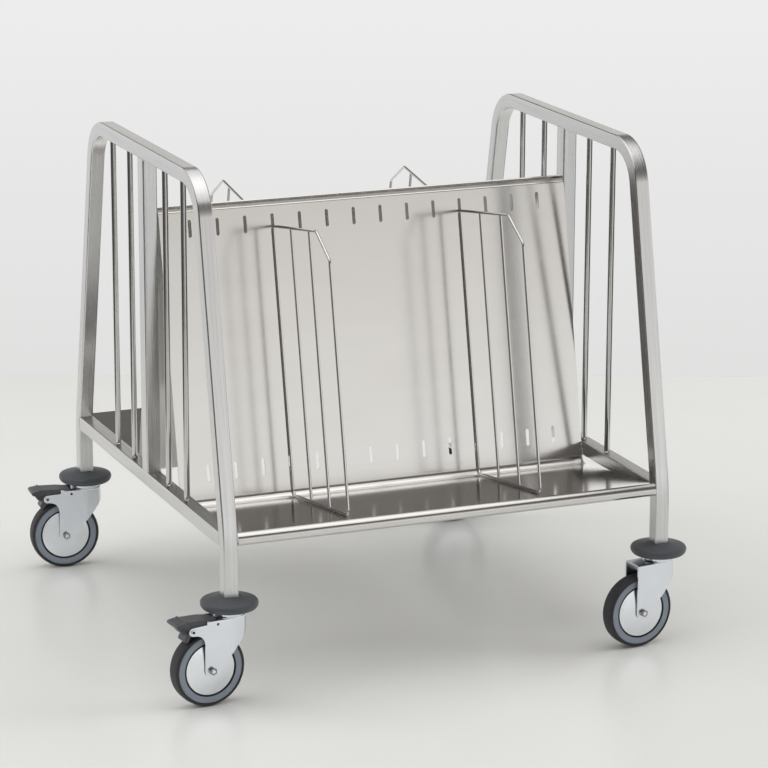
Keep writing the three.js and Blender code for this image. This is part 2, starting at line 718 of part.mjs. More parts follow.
// Where the middle of the brake shoe is at rest, from the pin: it meets the tyre when the pedal is down
function shoeFromPin() {
  const toAxle = Math.hypot(PIN_BACK, PIN_RISE);
  const shoeToAxle = WHEEL_R + RUN_GAP + SHOE_R;
  const along = toAxle - Math.sqrt(shoeToAxle ** 2 - SHOE_OFFSET ** 2);
  const line = new THREE.Vector2(PIN_BACK, -PIN_RISE).normalize();
  const across = new THREE.Vector2(line.y, -line.x);
  const pressed = line.multiplyScalar(along).addScaledVector(across, SHOE_OFFSET);
  return pressed.rotateAround(new THREE.Vector2(), radians(-BRAKE_TRAVEL));
}

function pedal() {
  const shoe = shoeFromPin();
  const behind = ([x, z]) => new THREE.Vector2(PEDAL_LENGTH * x, PEDAL_RISE * z);
  const ahead = ([x, z]) => new THREE.Vector2(PEDAL_BODY_LENGTH * x, PEDAL_RISE * z);
  const pad = new THREE.Shape([
    ...PAD_SHARES.map(behind),
    new THREE.Vector2(-PAD_START, PEDAL_RISE),
    new THREE.Vector2(-PAD_START, PEDAL_RISE / 2),
  ]);
  const body = new THREE.Shape([
    new THREE.Vector2(-PAD_START - OVERRUN, PEDAL_RISE / 2),
    new THREE.Vector2(-PAD_START, PEDAL_RISE),
    ...BODY_SHARES.map(ahead),
  ]);
  const bodyWidth = 2 * (forkInner - RUN_GAP);
  const arm = slotShape(shoe.length() + 2 * SHOE_R, 2 * SHOE_R);
  const armSolid = extrude(arm, 2 * SHOE_HALF_WIDTH);
  armSolid.rotateZ(Math.atan2(-shoe.x, shoe.y)).translate(shoe.x / 2, shoe.y / 2, 0);
  const solid = join([
    extrude(pad, 2 * PEDAL_HALF_WIDTH),
    extrude(body, bodyWidth),
    extrude(circleShape(PEDAL_BOSS_R), bodyWidth),
    armSolid,
  ]);
  const placed = fromSideXZ(solid).translate(pinX, 0, pinZ);
  return cut(placed, [crossHole(pinX, pinZ, PIN_D / 2 + RUN_GAP)]);
}

function brakePin() {
  const inner = FORK_HALF_WIDTH + FIT_GAP;
  const outer = inner + PIN_HEAD_HEIGHT;
  return turnedAcross([
    [0, -outer],
    [PIN_HEAD_D / 2, -outer],
    [PIN_HEAD_D / 2, -inner],
    [PIN_D / 2, -inner],
    [PIN_D / 2, inner],
    [PIN_HEAD_D / 2, inner],
    [PIN_HEAD_D / 2, outer],
    [0, outer],
  ], PIN_STEPS).translate(pinX, 0, pinZ);
}

function addSide(trolley, name, side) {
  const group = new THREE.Group();
  group.position.x = side * frameX;
  trolley.add(group);
  addMesh(group, `side_frame_${name}`, sideFrame(), STEEL);
  addMesh(group, `side_rail_${name}`, sideRail(), STEEL);
  addMesh(group, `centre_post_${name}`, centrePost(), STEEL);
  let number = 1;
  for (let place = -RODS_BESIDE_POST; place <= RODS_BESIDE_POST; place += 1) {
    if (place === 0) continue;
    const rod = addMesh(group, `guard_rod_${name}_${number}`, guardRod(), STEEL);
    rod.position.y = place * ROD_PITCH;
    number += 1;
  }
}

// The rear rack is the front one turned half round, so its slots and dividers are mirrored
function addRack(trolley, name, turn) {
  const group = new THREE.Group();
  group.rotation.z = turn;
  trolley.add(group);
  addMesh(group, `plate_rack_${name}`, plateRack(), BRIGHT);
  for (const index of DIVIDER_SLOTS) {
    const x = slotX(index);
    const side = x * Math.cos(turn) < 0 ? 'left' : 'right';
    addMesh(group, `divider_${name}_${side}`, wireDivider(), BRIGHT).position.x = x;
  }
}

function addCastor(trolley, { name, side, end, turn, braked }) {
  const group = new THREE.Group();
  group.position.set(side * frameX, end * legY, 0);
  group.rotation.z = radians(turn);
  trolley.add(group);
  addMesh(group, `bumper_${name}`, bumper(), BUMPER_GREY);
  addMesh(group, `stem_${name}`, stem(), ZINC);
  addMesh(group, `fork_${name}`, fork(braked), ZINC);
  addMesh(group, `axle_${name}`, axle(), ZINC);
  addMesh(group, `rim_${name}`, rim(), RIM_GREY);
  addMesh(group, `tyre_${name}`, tyre(), TYRE_GREY);
  addMesh(group, `guard_outer_${name}`, guard(-1), ZINC);
  addMesh(group, `guard_inner_${name}`, guard(1), ZINC);
  if (braked) {
    addMesh(group, `brake_pedal_${name}`, pedal(), BLACK);
    addMesh(group, `brake_pin_${name}`, brakePin(), ZINC);
  }
}

const trolley = new THREE.Group();
addSide(trolley, 'left', -1);
addSide(trolley, 'right', 1);
addRack(trolley, 'front', 0);
addRack(trolley, 'rear', Math.PI);
CASTORS.forEach((castor) => addCastor(trolley, castor));

// The origin is on the floor under the middle of the whole, castors included
const box = new THREE.Box3().setFromObject(trolley);
trolley.position.set(-(box.min.x + box.max.x) / 2, -(box.min.y + box.max.y) / 2, 0);

export default trolley;
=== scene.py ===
# %% [markdown]
# # A plate trolley in stainless steel
# A canteen keeps its clean plates standing on edge in this trolley. Two racks of folded sheet lean back
# to back between two bent tube frames, wire dividers hook into slots in the racks, and four swivel
# castors carry it. This lesson dresses a finished engineering model: the model gives every piece its
# place, so each cell rebuilds one kind of piece more finely where the solid already stands.

# %% Load the frame
import math

import bmesh
import bpy
from mathutils import Matrix, Vector


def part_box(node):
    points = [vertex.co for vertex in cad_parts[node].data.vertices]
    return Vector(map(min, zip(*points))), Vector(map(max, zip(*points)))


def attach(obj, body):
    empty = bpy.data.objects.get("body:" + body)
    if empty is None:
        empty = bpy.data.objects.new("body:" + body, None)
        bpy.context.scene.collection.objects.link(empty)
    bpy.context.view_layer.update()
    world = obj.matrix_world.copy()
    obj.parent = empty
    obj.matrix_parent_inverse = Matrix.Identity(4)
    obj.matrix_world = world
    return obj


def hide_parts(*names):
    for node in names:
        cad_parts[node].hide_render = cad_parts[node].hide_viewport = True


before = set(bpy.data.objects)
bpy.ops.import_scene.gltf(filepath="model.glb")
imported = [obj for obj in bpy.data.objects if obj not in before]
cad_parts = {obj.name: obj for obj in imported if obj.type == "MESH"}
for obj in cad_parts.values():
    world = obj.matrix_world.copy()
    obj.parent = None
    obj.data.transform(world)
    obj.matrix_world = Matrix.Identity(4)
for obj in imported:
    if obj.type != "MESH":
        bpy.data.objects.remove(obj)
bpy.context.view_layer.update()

# %% [markdown]
# ## Nodes written as sums
# A node tree can be clicked together or written out. Written plainly it takes four lines for each node,
# and the idea drowns. One small class wraps an output socket, so that `1 - mask * 0.3` adds its Math
# nodes by itself, and one method adds any other node. The same two serve materials, the world and
# Geometry Nodes alike.

# %% A socket that does sums, and a tree that adds nodes
class Link:
    """An output socket. Python's operators on it add Math nodes."""

    def __init__(self, tree, socket):
        self.tree = tree
        self.socket = socket

    def math(self, operation, *values):
        return self.tree.add("ShaderNodeMath", dict(enumerate(values)), operation=operation)

    def __add__(self, other):
        return self.math("ADD", self, other)

    def __radd__(self, other):
        return self.math("ADD", other, self)

    def __sub__(self, other):
        return self.math("SUBTRACT", self, other)

    def __rsub__(self, other):
        return self.math("SUBTRACT", other, self)

    def __mul__(self, other):
        return self.math("MULTIPLY", self, other)

    def __rmul__(self, other):
        return self.math("MULTIPLY", other, self)


class Tree:
    """A node tree that is being written."""

    def __init__(self, nodes_and_links):
        self.written = nodes_and_links

    def add(self, kind, values=None, output=0, stops=None, **settings):
        node = self.written.nodes.new(kind)
        for name, setting in settings.items():
            setattr(node, name, setting)
        if stops:
            elements = node.color_ramp.elements
            elements.remove(elements[1])
            elements[0].position, elements[0].color = stops[0]
            for position, colour in stops[1:]:
                elements.new(position).color = colour
        for name, value in (values or {}).items():
            for one in value if isinstance(value, list) else [value]:
                if isinstance(one, Link):
                    self.written.links.new(one.socket, node.inputs[name])
                else:
                    node.inputs[name].default_value = one
        return Link(self, node.outputs[output] if node.outputs else None)

    def noise(self, place, scale, detail=3.0):
        return self.add("ShaderNodeTexNoise", {"Vector": place, "Scale": scale, "Detail": detail})

    def stretched(self, place, scales):
        """A place multiplied along each axis, so that a pattern on it is drawn out."""
        return self.add("ShaderNodeVectorMath", {0: place, 1: scales}, operation="MULTIPLY")

    def mixed(self, share, first, second):
        """A colour between two others, through the Mix node's own sockets for colours."""
        return self.add("ShaderNodeMix", {0: share, 6: first, 7: second}, output=2, data_type="RGBA")

    def dot(self, first, second):
        """How far one vector reaches along another."""
        return self.add("ShaderNodeVectorMath", {0: first, 1: second}, 1, operation="DOT_PRODUCT")

    def grain(self):
        """How far across and how far along its tube a point lies, from an attribute."""
        return self.add("ShaderNodeAttribute", output=1, attribute_name="grain")

    def from_axis(self):
        """How far a point lies from the axis that its piece was turned around."""
        flat = self.stretched(self.grain(), (1, 1, 0))
        return self.add("ShaderNodeVectorMath", {0: flat}, 1, operation="LENGTH")


print("Link and Tree are ready")

# %% [markdown]
# ## The camera
# The trolley was photographed with a long lens from a little above and to its left. The camera's place,
# heading and lens were worked out from where known points of the trolley lie in the picture. It has no
# shift, so the same lens serves for looking at the trolley from any other side.

# %% Place the camera
CAMERA_PLACE = (-2.0647, -5.1634, 1.8802)
CAMERA_HEADING = -22.437  # degrees, from straight at the front
CAMERA_PITCH = 14.904  # degrees below level
CAMERA_ROLL = -0.182
FOCAL_PIXELS = 3304.4
PICTURE_PIXELS = 768

camera = bpy.data.objects.new("camera", bpy.data.cameras.new("camera"))
bpy.context.scene.collection.objects.link(camera)
bpy.context.scene.camera = camera
camera.data.lens = FOCAL_PIXELS * camera.data.sensor_width / PICTURE_PIXELS
heading = Matrix.Rotation(math.radians(CAMERA_HEADING), 4, "Z")
tilt = Matrix.Rotation(math.radians(90 - CAMERA_PITCH), 4, "X")
roll = Matrix.Rotation(math.radians(-CAMERA_ROLL), 4, "Z")
camera.matrix_world = Matrix.Translation(CAMERA_PLACE) @ heading @ tilt @ roll
print("lens:", round(camera.data.lens, 1), "mm")

# %% [markdown]
# ## The studio
# Bare metal has almost no colour of its own: it shows the room. So the room matters more than any lamp.
# This one is pale near the horizon, dark between the walls and the lamps, and brighter overhead, and
# that gives each bend of the tubes its light and dark bands. One side of the room is dark, which draws
# the dark edge along the wires and the inner faces of the legs. Beside the pale floor the ground is
# dark, and each round rod shows that as two dark lines with a light one between. Three soft lamps light
# it: a broad one above gives the shadow on the floor, and one at each side lifts the floor there. The
# camera itself sees a plain pale wall in place of the room, so the background stays pale all round.

# %% Light the room
ROOM = [  # height above the horizon in degrees, and the light that comes from there
    (-90, (0.70, 0.71, 0.70)),
    (-16, (0.74, 0.745, 0.74)),
    (3, (1.06, 1.06, 1.05)),
    (6.5, (1.02, 1.01, 0.99)),
    (8.5, (0.90, 0.885, 0.86)),
    (10.5, (0.79, 0.77, 0.74)),
    (16, (0.50, 0.48, 0.455)),
    (22, (0.25, 0.235, 0.225)),
    (30, (0.15, 0.145, 0.14)),
    (50, (0.09, 0.085, 0.08)),
    (58, (0.24, 0.22, 0.20)),
    (66, (0.55, 0.52, 0.49)),
    (90, (0.70, 0.70, 0.70)),
]
WALL = [  # the same for the wall that the camera sees, which is pale all round
    (-16, (0.73, 0.73, 0.725)),
    (-8, (0.845, 0.85, 0.845)),
    (4, (0.88, 0.88, 0.875)),
]
DARK_SIDE = (-0.80, -0.56, 0.21)  # direction of the dark side of the room
DARK_SIDE_STOPS = [  # how far a direction reaches along that, and the share of the light left there
    (0, (1, 1, 1, 1)),
    (0.52, (1, 1, 1, 1)),
    (0.78, (0.24, 0.23, 0.22, 1)),
    (0.9, (0.13, 0.12, 0.115, 1)),
]
SIDEWAYS = (math.cos(math.radians(CAMERA_HEADING)), math.sin(math.radians(CAMERA_HEADING)), 0)
GROUND_STOPS = [  # the same for the dark ground at both sides
    (0, (1, 1, 1, 1)),
    (0.76, (1, 1, 1, 1)),
    (0.86, (0.16, 0.155, 0.15, 1)),
    (1, (0.10, 0.095, 0.09, 1)),
]
GROUND_LOW, GROUND_HIGH = -0.14, -0.02  # heights of a direction between which that ground ends
room = bpy.data.worlds.new("studio")
room.use_nodes = True
room.node_tree.nodes.clear()
bpy.context.scene.world = room
world = Tree(room.node_tree)
direction = world.add("ShaderNodeTexCoord")
height = world.add("ShaderNodeSeparateXYZ", {0: direction}, output=2)


def by_height(table):
    """The light of a table, by how high a direction points."""
    stops = [((1 + math.sin(math.radians(angle))) / 2, (*light, 1)) for angle, light in table]
    return world.add("ShaderNodeValToRGB", {0: 0.5 + height * 0.5}, stops=stops)


dimmed = world.add("ShaderNodeValToRGB", {0: world.dot(direction, DARK_SIDE)}, stops=DARK_SIDE_STOPS)
glow = world.add("ShaderNodeVectorMath", {0: by_height(ROOM), 1: dimmed}, operation="MULTIPLY")
beside = world.add("ShaderNodeMath", {0: world.dot(direction, SIDEWAYS)}, operation="ABSOLUTE")
beside = world.add("ShaderNodeValToRGB", {0: beside}, stops=GROUND_STOPS)
below = world.add("ShaderNodeMapRange", {0: height, 1: GROUND_LOW, 2: GROUND_HIGH, 3: 1.0, 4: 0.0})
beside = world.mixed(below, (1, 1, 1, 1), beside)
glow = world.add("ShaderNodeVectorMath", {0: glow, 1: beside}, operation="MULTIPLY")
glow = world.mixed(world.add("ShaderNodeLightPath"), glow, by_height(WALL))
backdrop = world.add("ShaderNodeBackground", {"Color": glow, "Strength": 1.0})
world.add("ShaderNodeOutputWorld", {"Surface": backdrop})

LAMPS = [  # name, place, point it looks at, width and height, power
    ("overhead lamp", (-1.0, 0.1, 3.6), (-1.0, 0.1, 0.0), (5.8, 6.6), 108.0),
    ("left lamp", (-4.2, 0.8, 2.0), (-0.4, 0.2, 0.0), (5.0, 3.2), 112.0),
    ("right lamp", (4.4, -0.4, 2.2), (0.4, -0.2, 0.0), (3.6, 2.2), 112.0),
]
for name, place, target, size, power in LAMPS:
    lamp = bpy.data.objects.new(name, bpy.data.lights.new(name, "AREA"))
    bpy.context.scene.collection.objects.link(lamp)
    lamp.data.shape = "RECTANGLE"
    lamp.data.size, lamp.data.size_y = size
    lamp.data.energy = power
    lamp.location = place
    lamp.rotation_euler = (Vector(target) - Vector(place)).to_track_quat("-Z", "Y").to_euler()
    lamp.visible_glossy = name == "overhead lamp"  # or the side lamps would glare in the floor
bpy.context.scene.view_settings.view_transform = "Standard"
print("lamps:", len(LAMPS))

# %% [markdown]
# ## The floor
# The floor is pale and slightly glossy, as painted boards are, so it shows the castors dimly. The metal
# reflects only a strip of it, because in the studio the ground beside the strip is dark. It ends a
# little behind the trolley, where the room's pale wall begins, and is round elsewhere. It is scenery
# and not a part of the trolley.

# %% Lay the floor
FLOOR_BEHIND = 1.58
FLOOR_R = 2.7
FLOOR_STEPS = 96
PALE_HALF_WIDTH = 1.6  # beyond this the floor is there for the camera only


def finish(name, rough, metal):
    """A new material. Gives its tree, its shader node and the object's own coordinates."""
    material = bpy.data.materials.new(name)
    material.use_nodes = True
    tree = Tree(material.node_tree)
    shader = material.node_tree.nodes["Principled BSDF"]
    shader.inputs["Roughness"].default_value = rough
    shader.inputs["Metallic"].default_value = metal
    place = tree.add("ShaderNodeTexCoord", output=3)
    return material, tree, shader, place


def feed(tree, shader, name, link):
    tree.written.links.new(link.socket, shader.inputs[name])


def bumped(tree, shader, height, distance, strength=1.0):
    values = {"Height": height, "Distance": distance, "Strength": strength}
    feed(tree, shader, "Normal", tree.add("ShaderNodeBump", values))


def painted_floor():
    material, tree, shader, place = finish("painted_floor", 0.2, 0)
    cloud = tree.noise(place, 1.3)
    feed(tree, shader, "Base Color", tree.mixed(cloud, (0.80, 0.815, 0.79, 1), (0.845, 0.85, 0.835, 1)))
    feed(tree, shader, "Roughness", 0.17 + tree.noise(place, 6.0) * 0.1)
    across = tree.add("ShaderNodeMath", {0: tree.dot(place, SIDEWAYS)}, operation="ABSOLUTE")
    beside = tree.add("ShaderNodeMath", {0: across, 1: PALE_HALF_WIDTH}, operation="GREATER_THAN")
    unseen = 1 - tree.add("ShaderNodeLightPath")
    painted = Link(tree, shader.outputs[0])
    open_ground = tree.add("ShaderNodeBsdfTransparent")
    laid = tree.add("ShaderNodeMixShader", {0: beside * unseen, 1: painted, 2: open_ground})
    tree.written.links.new(laid.socket, tree.written.nodes["Material Output"].inputs[0])
    return material


mesh = bpy.data.meshes.new("floor")
turn = Matrix.Rotation(math.radians(CAMERA_HEADING), 4, "Z")
angles = [2 * math.pi * step / FLOOR_STEPS for step in range(FLOOR_STEPS)]
edge = [(FLOOR_R * math.cos(angle), min(FLOOR_R * math.sin(angle), FLOOR_BEHIND), 0) for angle in angles]
mesh.from_pydata([turn @ Vector(point) for point in edge], [], [range(FLOOR_STEPS)])
mesh.materials.append(painted_floor())
floor = bpy.data.objects.new("floor", mesh)
bpy.context.scene.collection.objects.link(floor)
print("floor laid")

# %% [markdown]
# ## Brushed tube
# The frames are welded from square tube with a fine grain along its length. On a straight bar the grain
# could follow an axis, but these tubes bend, so each tube carries an attribute, `grain`: how far across
# the tube and how far along it a point lies. Noise on that, drawn out along the tube, follows every
# bend. It moves the normal a little, which smears reflections across the grain as brushing does.

# %% Brushed stainless steel
def brushed_tube():
    material, tree, shader, place = finish("brushed_tube", 0.3, 1)
    grain = tree.grain()
    fine = tree.noise(tree.stretched(grain, (1900, 1900, 14)), 1.0, 2.0)
    broad = tree.noise(tree.stretched(grain, (300, 300, 5)), 1.0)
    handled = tree.noise(place, 9.0, 2.0)
    shade = broad * 0.7 + handled * 0.3
    feed(tree, shader, "Base Color", tree.mixed(shade, (0.53, 0.535, 0.54, 1), (0.81, 0.805, 0.80, 1)))
    feed(tree, shader, "Roughness", 0.13 + fine * 0.16 + handled * 0.06)
    bumped(tree, shader, fine + broad * 2.0, 0.00008, 0.7)
    return material


TUBE_STEEL = brushed_tube()
print("material:", TUBE_STEEL.name)

# %% [markdown]
# ## Bright sheet
# The racks are of bright rolled sheet, nearly a mirror. A true mirror would look like glass: what makes
# it steel is a faint blur, stronger up and down than sideways because the rolling marks run across the
# rack, and long soft waves where the sheet isn't quite flat.

# %% Bright rolled sheet
def bright_sheet():
    material, tree, shader, place = finish("bright_sheet", 0.14, 1)
    marks = tree.noise(tree.stretched(place, (9, 420, 420)), 1.0, 2.0)
    waves = tree.noise(place, 3.2, 1.0)
    smears = tree.noise(tree.stretched(place, (5, 14, 14)), 1.0)
    feed(tree, shader, "Base Color", tree.mixed(smears, (0.655, 0.64, 0.62, 1), (0.745, 0.735, 0.72, 1)))
    feed(tree, shader, "Roughness", 0.10 + marks * 0.05 + smears * 0.05)
    bumped(tree, shader, marks * 0.03 + waves, 0.0004, 0.5)
    return material


SHEET_STEEL = bright_sheet()
print("material:", SHEET_STEEL.name)

# %% [markdown]
# ## Drawn wire and rod
# Wire is drawn through a die and then polished, so it is bright, with marks along it only. The same
# attribute as on the tubes gives their direction.

# %% Drawn wire
def drawn_wire(name, colours, rough):
    material, tree, shader, place = finish(name, rough, 1)
    marks = tree.noise(tree.stretched(tree.grain(), (2500, 2500, 20)), 1.0, 2.0)
    dull = tree.noise(place, 22.0)
    feed(tree, shader, "Base Color", tree.mixed(dull, (*colours[0], 1), (*colours[1], 1)))
    feed(tree, shader, "Roughness", rough + marks * 0.08)
    bumped(tree, shader, marks, 0.00003, 0.5)
    return material


WIRE_STEEL = drawn_wire("drawn_wire", ((0.64, 0.63, 0.61), (0.74, 0.73, 0.71)), 0.12)
ROD_STEEL = drawn_wire("polished_rod", ((0.60, 0.60, 0.59), (0.72, 0.72, 0.71)), 0.08)
print("materials:", WIRE_STEEL.name, ROD_STEEL.name)

# %% [markdown]
# ## Zinc, rubber and plastic
# The castors bring the other finishes. Bright zinc plating is bluish, and has the cloudy patches of
# a plating bath. Rubber and plastic are rough and hardly vary in colour, so they live from fine pores,
# from dust that dulls them in patches, and from scuffs.

# %% Castor finishes
def zinc_plating():
    material, tree, shader, place = finish("zinc_plating", 0.3, 1)
    cloud = tree.noise(place, 42.0, 4.0)
    scratches = tree.noise(tree.stretched(place, (700, 700, 60)), 1.0, 2.0)
    feed(tree, shader, "Base Color", tree.mixed(cloud, (0.76, 0.795, 0.85, 1), (0.87, 0.90, 0.95, 1)))
    feed(tree, shader, "Roughness", 0.14 + cloud * 0.12)
    bumped(tree, shader, cloud * 0.4 + scratches * 0.2, 0.00003, 0.5)
    return material


def lathe_turned_zinc():
    """Zinc on a piece turned in a lathe: fine rings that smear light outwards from the middle."""
    material, tree, shader, place = finish("lathe_turned_zinc", 0.2, 1)
    rings = tree.noise(tree.add("ShaderNodeCombineXYZ", {0: tree.from_axis() * 2600}), 1.0, 2.0)
    cloud = tree.noise(place, 30.0)
    feed(tree, shader, "Base Color", tree.mixed(cloud, (0.78, 0.81, 0.85, 1), (0.91, 0.93, 0.96, 1)))
    feed(tree, shader, "Roughness", 0.15 + rings * 0.12)
    bumped(tree, shader, rings, 0.00005, 0.5)
    return material


def moulding(name, dark, pale, rough, pores, depth, painted_shade_radius=0):
    """Rubber or plastic: two close shades, dull patches, and pores of the given number to the metre.
    Within the given radius of the turning axis it is painted black, as painted shade in a groove."""
    material, tree, shader, place = finish(name, rough, 0)
    dust = tree.noise(place, 30.0, 4.0)
    skin = tree.noise(place, pores, 2.0)
    colour = tree.mixed(dust, (*dark, 1), (*pale, 1))
    # Painted shade: black within the given radius of the axis, for a groove.
    if painted_shade_radius:
        edge = {0: tree.from_axis(), 1: painted_shade_radius, 2: painted_shade_radius + 0.0006}
        unshaded = tree.add("ShaderNodeMapRange", edge)
        colour = tree.mixed(unshaded, (0.012, 0.012, 0.013, 1), colour)
    feed(tree, shader, "Base Color", colour)
    feed(tree, shader, "Roughness", rough - 0.06 + dust * 0.12)
    bumped(tree, shader, skin, depth, 0.7)
    return material


def shade_darkened_steel():
    """Bare steel, darkened all over as painted shade, with blotches of random tone."""
    material, tree, shader, place = finish("shade_darkened_steel", 0.3, 1)
    blotches = tree.noise(place, 160.0, 4.0)
    # Painted shade: the whole colour of the nuts is darkened.
    feed(tree, shader, "Base Color", tree.mixed(blotches, (0.20, 0.20, 0.21, 1), (0.42, 0.42, 0.43, 1)))
    feed(tree, shader, "Roughness", 0.22 + blotches * 0.2)
    bumped(tree, shader, blotches, 0.00005, 0.5)
    return material


ZINC = zinc_plating()
SHADE_DARKENED_STEEL = shade_darkened_steel()
TURNED_ZINC = lathe_turned_zinc()
BUMPER_RUBBER = moulding("bumper_rubber", (0.060, 0.067, 0.076), (0.082, 0.090, 0.10), 0.5, 900, 0.0001)
# The rim is black within 45.7 mm of its axle: painted shade in the groove around the guard.
RIM_PLASTIC = moulding("rim_plastic", (0.25, 0.29, 0.35), (0.31, 0.35, 0.41), 0.42, 700, 0.00005, 0.0457)
TYRE_RUBBER = moulding("tyre_rubber", (0.024, 0.024, 0.027), (0.040, 0.039, 0.042), 0.6, 800, 0.0001)
print("castor finishes: 6")

# %% [markdown]
# ## Tubes, wires and sheets are all swept
# A square tube, a round wire and even the folded sheet of a rack have one thing in common: a section
# that is carried along a line with rounded corners. Modelling each by hand would mean five ways of
# getting the bends wrong. One Geometry Nodes tree does it for all: it takes bare edges with a bend
# radius at each corner, rounds the corners, carries the section along, and notes where on the tube each
# point lies, for the grain.

# %% The tree that sweeps a section along bent lines
def new_group(name, takes, gives):
    """A group with named sockets: the group, the tree that writes it, and what it is given."""
    group = bpy.data.node_groups.new(name, "GeometryNodeTree")
    for size, kind in takes.items():
        group.interface.new_socket(size, in_out="INPUT", socket_type=f"NodeSocket{kind}")
    group.interface.new_socket(gives, in_out="OUTPUT", socket_type="NodeSocketGeometry")
    tree = Tree(group)
    node = group.nodes.new("NodeGroupInput")
    return group, tree, {socket.name: Link(tree, socket) for socket in node.outputs}


def swept_tree(name, is_round):
    takes = {"Lines": "Geometry", "Width": "Float", "Depth": "Float", "Edge radius": "Float",
             "Bend steps": "Int", "Edge steps": "Int", "Finish": "Material"}
    group, tree, given = new_group(name, takes, "Swept")

    lines = tree.add("GeometryNodeMeshToCurve", {0: given["Lines"]})
    bend = tree.add("GeometryNodeInputNamedAttribute", {"Name": "bend"}, data_type="FLOAT")
    bends = {"Curve": lines, "Count": given["Bend steps"], "Radius": bend}
    lines = tree.add("GeometryNodeFilletCurve", bends, mode="POLY")
    along = tree.add("GeometryNodeSplineParameter", output=1)
    stored = {"Geometry": lines, "Name": "run", "Value": along}
    lines = tree.add("GeometryNodeStoreNamedAttribute", stored, data_type="FLOAT", domain="POINT")

    if is_round:
        circle = {"Resolution": given["Edge steps"], "Radius": given["Width"] * 0.5}
        section = tree.add("GeometryNodeCurvePrimitiveCircle", circle, mode="RADIUS")
    else:
        box = {"Width": given["Width"], "Height": given["Depth"]}
        box = tree.add("GeometryNodeCurvePrimitiveQuadrilateral", box, mode="RECTANGLE")
        edges = {"Curve": box, "Count": given["Edge steps"], "Radius": given["Edge radius"]}
        section = tree.add("GeometryNodeFilletCurve", edges, mode="POLY")
    stored = {"Geometry": section, "Name": "across", "Value": tree.add("GeometryNodeInputPosition")}
    section = tree.add("GeometryNodeStoreNamedAttribute", stored, data_type="FLOAT_VECTOR", domain="POINT")

    swept = {"Curve": lines, "Profile Curve": section, "Fill Caps": True}
    swept = tree.add("GeometryNodeCurveToMesh", swept)
    across = tree.add("GeometryNodeInputNamedAttribute", {"Name": "across"}, data_type="FLOAT_VECTOR")
    run = tree.add("GeometryNodeInputNamedAttribute", {"Name": "run"}, data_type="FLOAT")
    flat = tree.add("ShaderNodeSeparateXYZ", {0: across})
    other = Link(tree, flat.socket.node.outputs[1])
    grain = tree.add("ShaderNodeCombineXYZ", {0: flat, 1: other, 2: run})
    stored = {"Geometry": swept, "Name": "grain", "Value": grain}
    swept = tree.add("GeometryNodeStoreNamedAttribute", stored, data_type="FLOAT_VECTOR", domain="POINT")
    swept = tree.add("GeometryNodeRealizeInstances", {"Geometry": swept})
    swept = tree.add("GeometryNodeSetMaterial", {"Geometry": swept, "Material": given["Finish"]})
    tree.add("NodeGroupOutput", {0: swept})
    return group


SQUARE_SWEEP = swept_tree("square_sweep", False)
ROUND_SWEEP = swept_tree("round_sweep", True)
print("trees:", SQUARE_SWEEP.name, ROUND_SWEEP.name)

# %% [markdown]
# A tree needs something to work on: a mesh of bare edges. And its result has to become a plain mesh,
# because what is exported has no trees. The next helpers do both, and one more gives a finished mesh
# its place in the trolley: the body it moves with and the solid it stands for.

# %% From lines to finished pieces
SHARP_ANGLE = math.radians(34)
collection = bpy.context.scene.collection


def bare_lines(name, runs, closed=False):
    """Edges through each run's corners. A run is its corners and the bend radii of the inner ones."""
    points, edges, bends = [], [], []
    for corners, radii in runs:
        start = len(points)
        points += corners
        bends += radii if closed else [0, *radii, 0]
        edges += [(start + step, start + step + 1) for step in range(len(corners) - 1)]
        if closed:
            edges.append((len(points) - 1, start))
    mesh = bpy.data.meshes.new(name)
    mesh.from_pydata(points, edges, [])
    mesh.attributes.new("bend", "FLOAT", "POINT").data.foreach_set("value", bends)
    lines = bpy.data.objects.new(name, mesh)
    collection.objects.link(lines)
    return lines


def set_inputs(modifier, inputs):
    """Sets a Geometry Nodes modifier's inputs by the identifiers of their sockets."""
    for item in modifier.node_group.interface.items_tree:
        if item.in_out == "INPUT" and item.name in inputs:
            modifier[item.identifier] = inputs[item.name]


def grown(start, group, **inputs):
    """The plain mesh that a tree makes of an object, which is then thrown away."""
    modifier = start.modifiers.new(group.name, "NODES")
    modifier.node_group = group
    set_inputs(modifier, {name.replace("_", " ").capitalize(): value for name, value in inputs.items()})
    return evaluated(start)


def evaluated(start):
    graph = bpy.context.evaluated_depsgraph_get()
    mesh = bpy.data.meshes.new_from_object(start.evaluated_get(graph))
    bpy.data.objects.remove(start)
    return mesh


def smoothed(mesh):
    mesh.shade_smooth()
    mesh.set_sharp_from_angle(angle=SHARP_ANGLE)
    return mesh


def show(name, mesh, body, slot, *nodes):
    """Puts a finished mesh into the trolley in place of its solids."""
    piece = bpy.data.objects.new(name, smoothed(mesh))
    collection.objects.link(piece)
    modifier = piece.modifiers.new("flat faces stay flat", "WEIGHTED_NORMAL")
    modifier.keep_sharp = True
    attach(piece, body)
    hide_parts(*nodes)
    return piece


print("helpers for pieces are ready")

# %% [markdown]
# ## Where the trolley's own middle is
# The origin lies under the middle of everything, castors included, and these stick out to the left. The
# frames' solids give the trolley's own middle plane, its foot, its top and its rails, so nothing below
# has to know how the origin was chosen.

# %% Sizes of the frame
MM = 0.001
FIT_GAP = 0.3 * MM
TUBE = 25 * MM
TUBE_EDGE_R = 2.5 * MM
LEAN = math.radians(11.5)
KNEE_RISE = 89.2 * MM
KNEE_R = 420 * MM
TOP_BEND_R = 72 * MM
TUBE_BEND_STEPS = 26
TUBE_EDGE_STEPS = 4

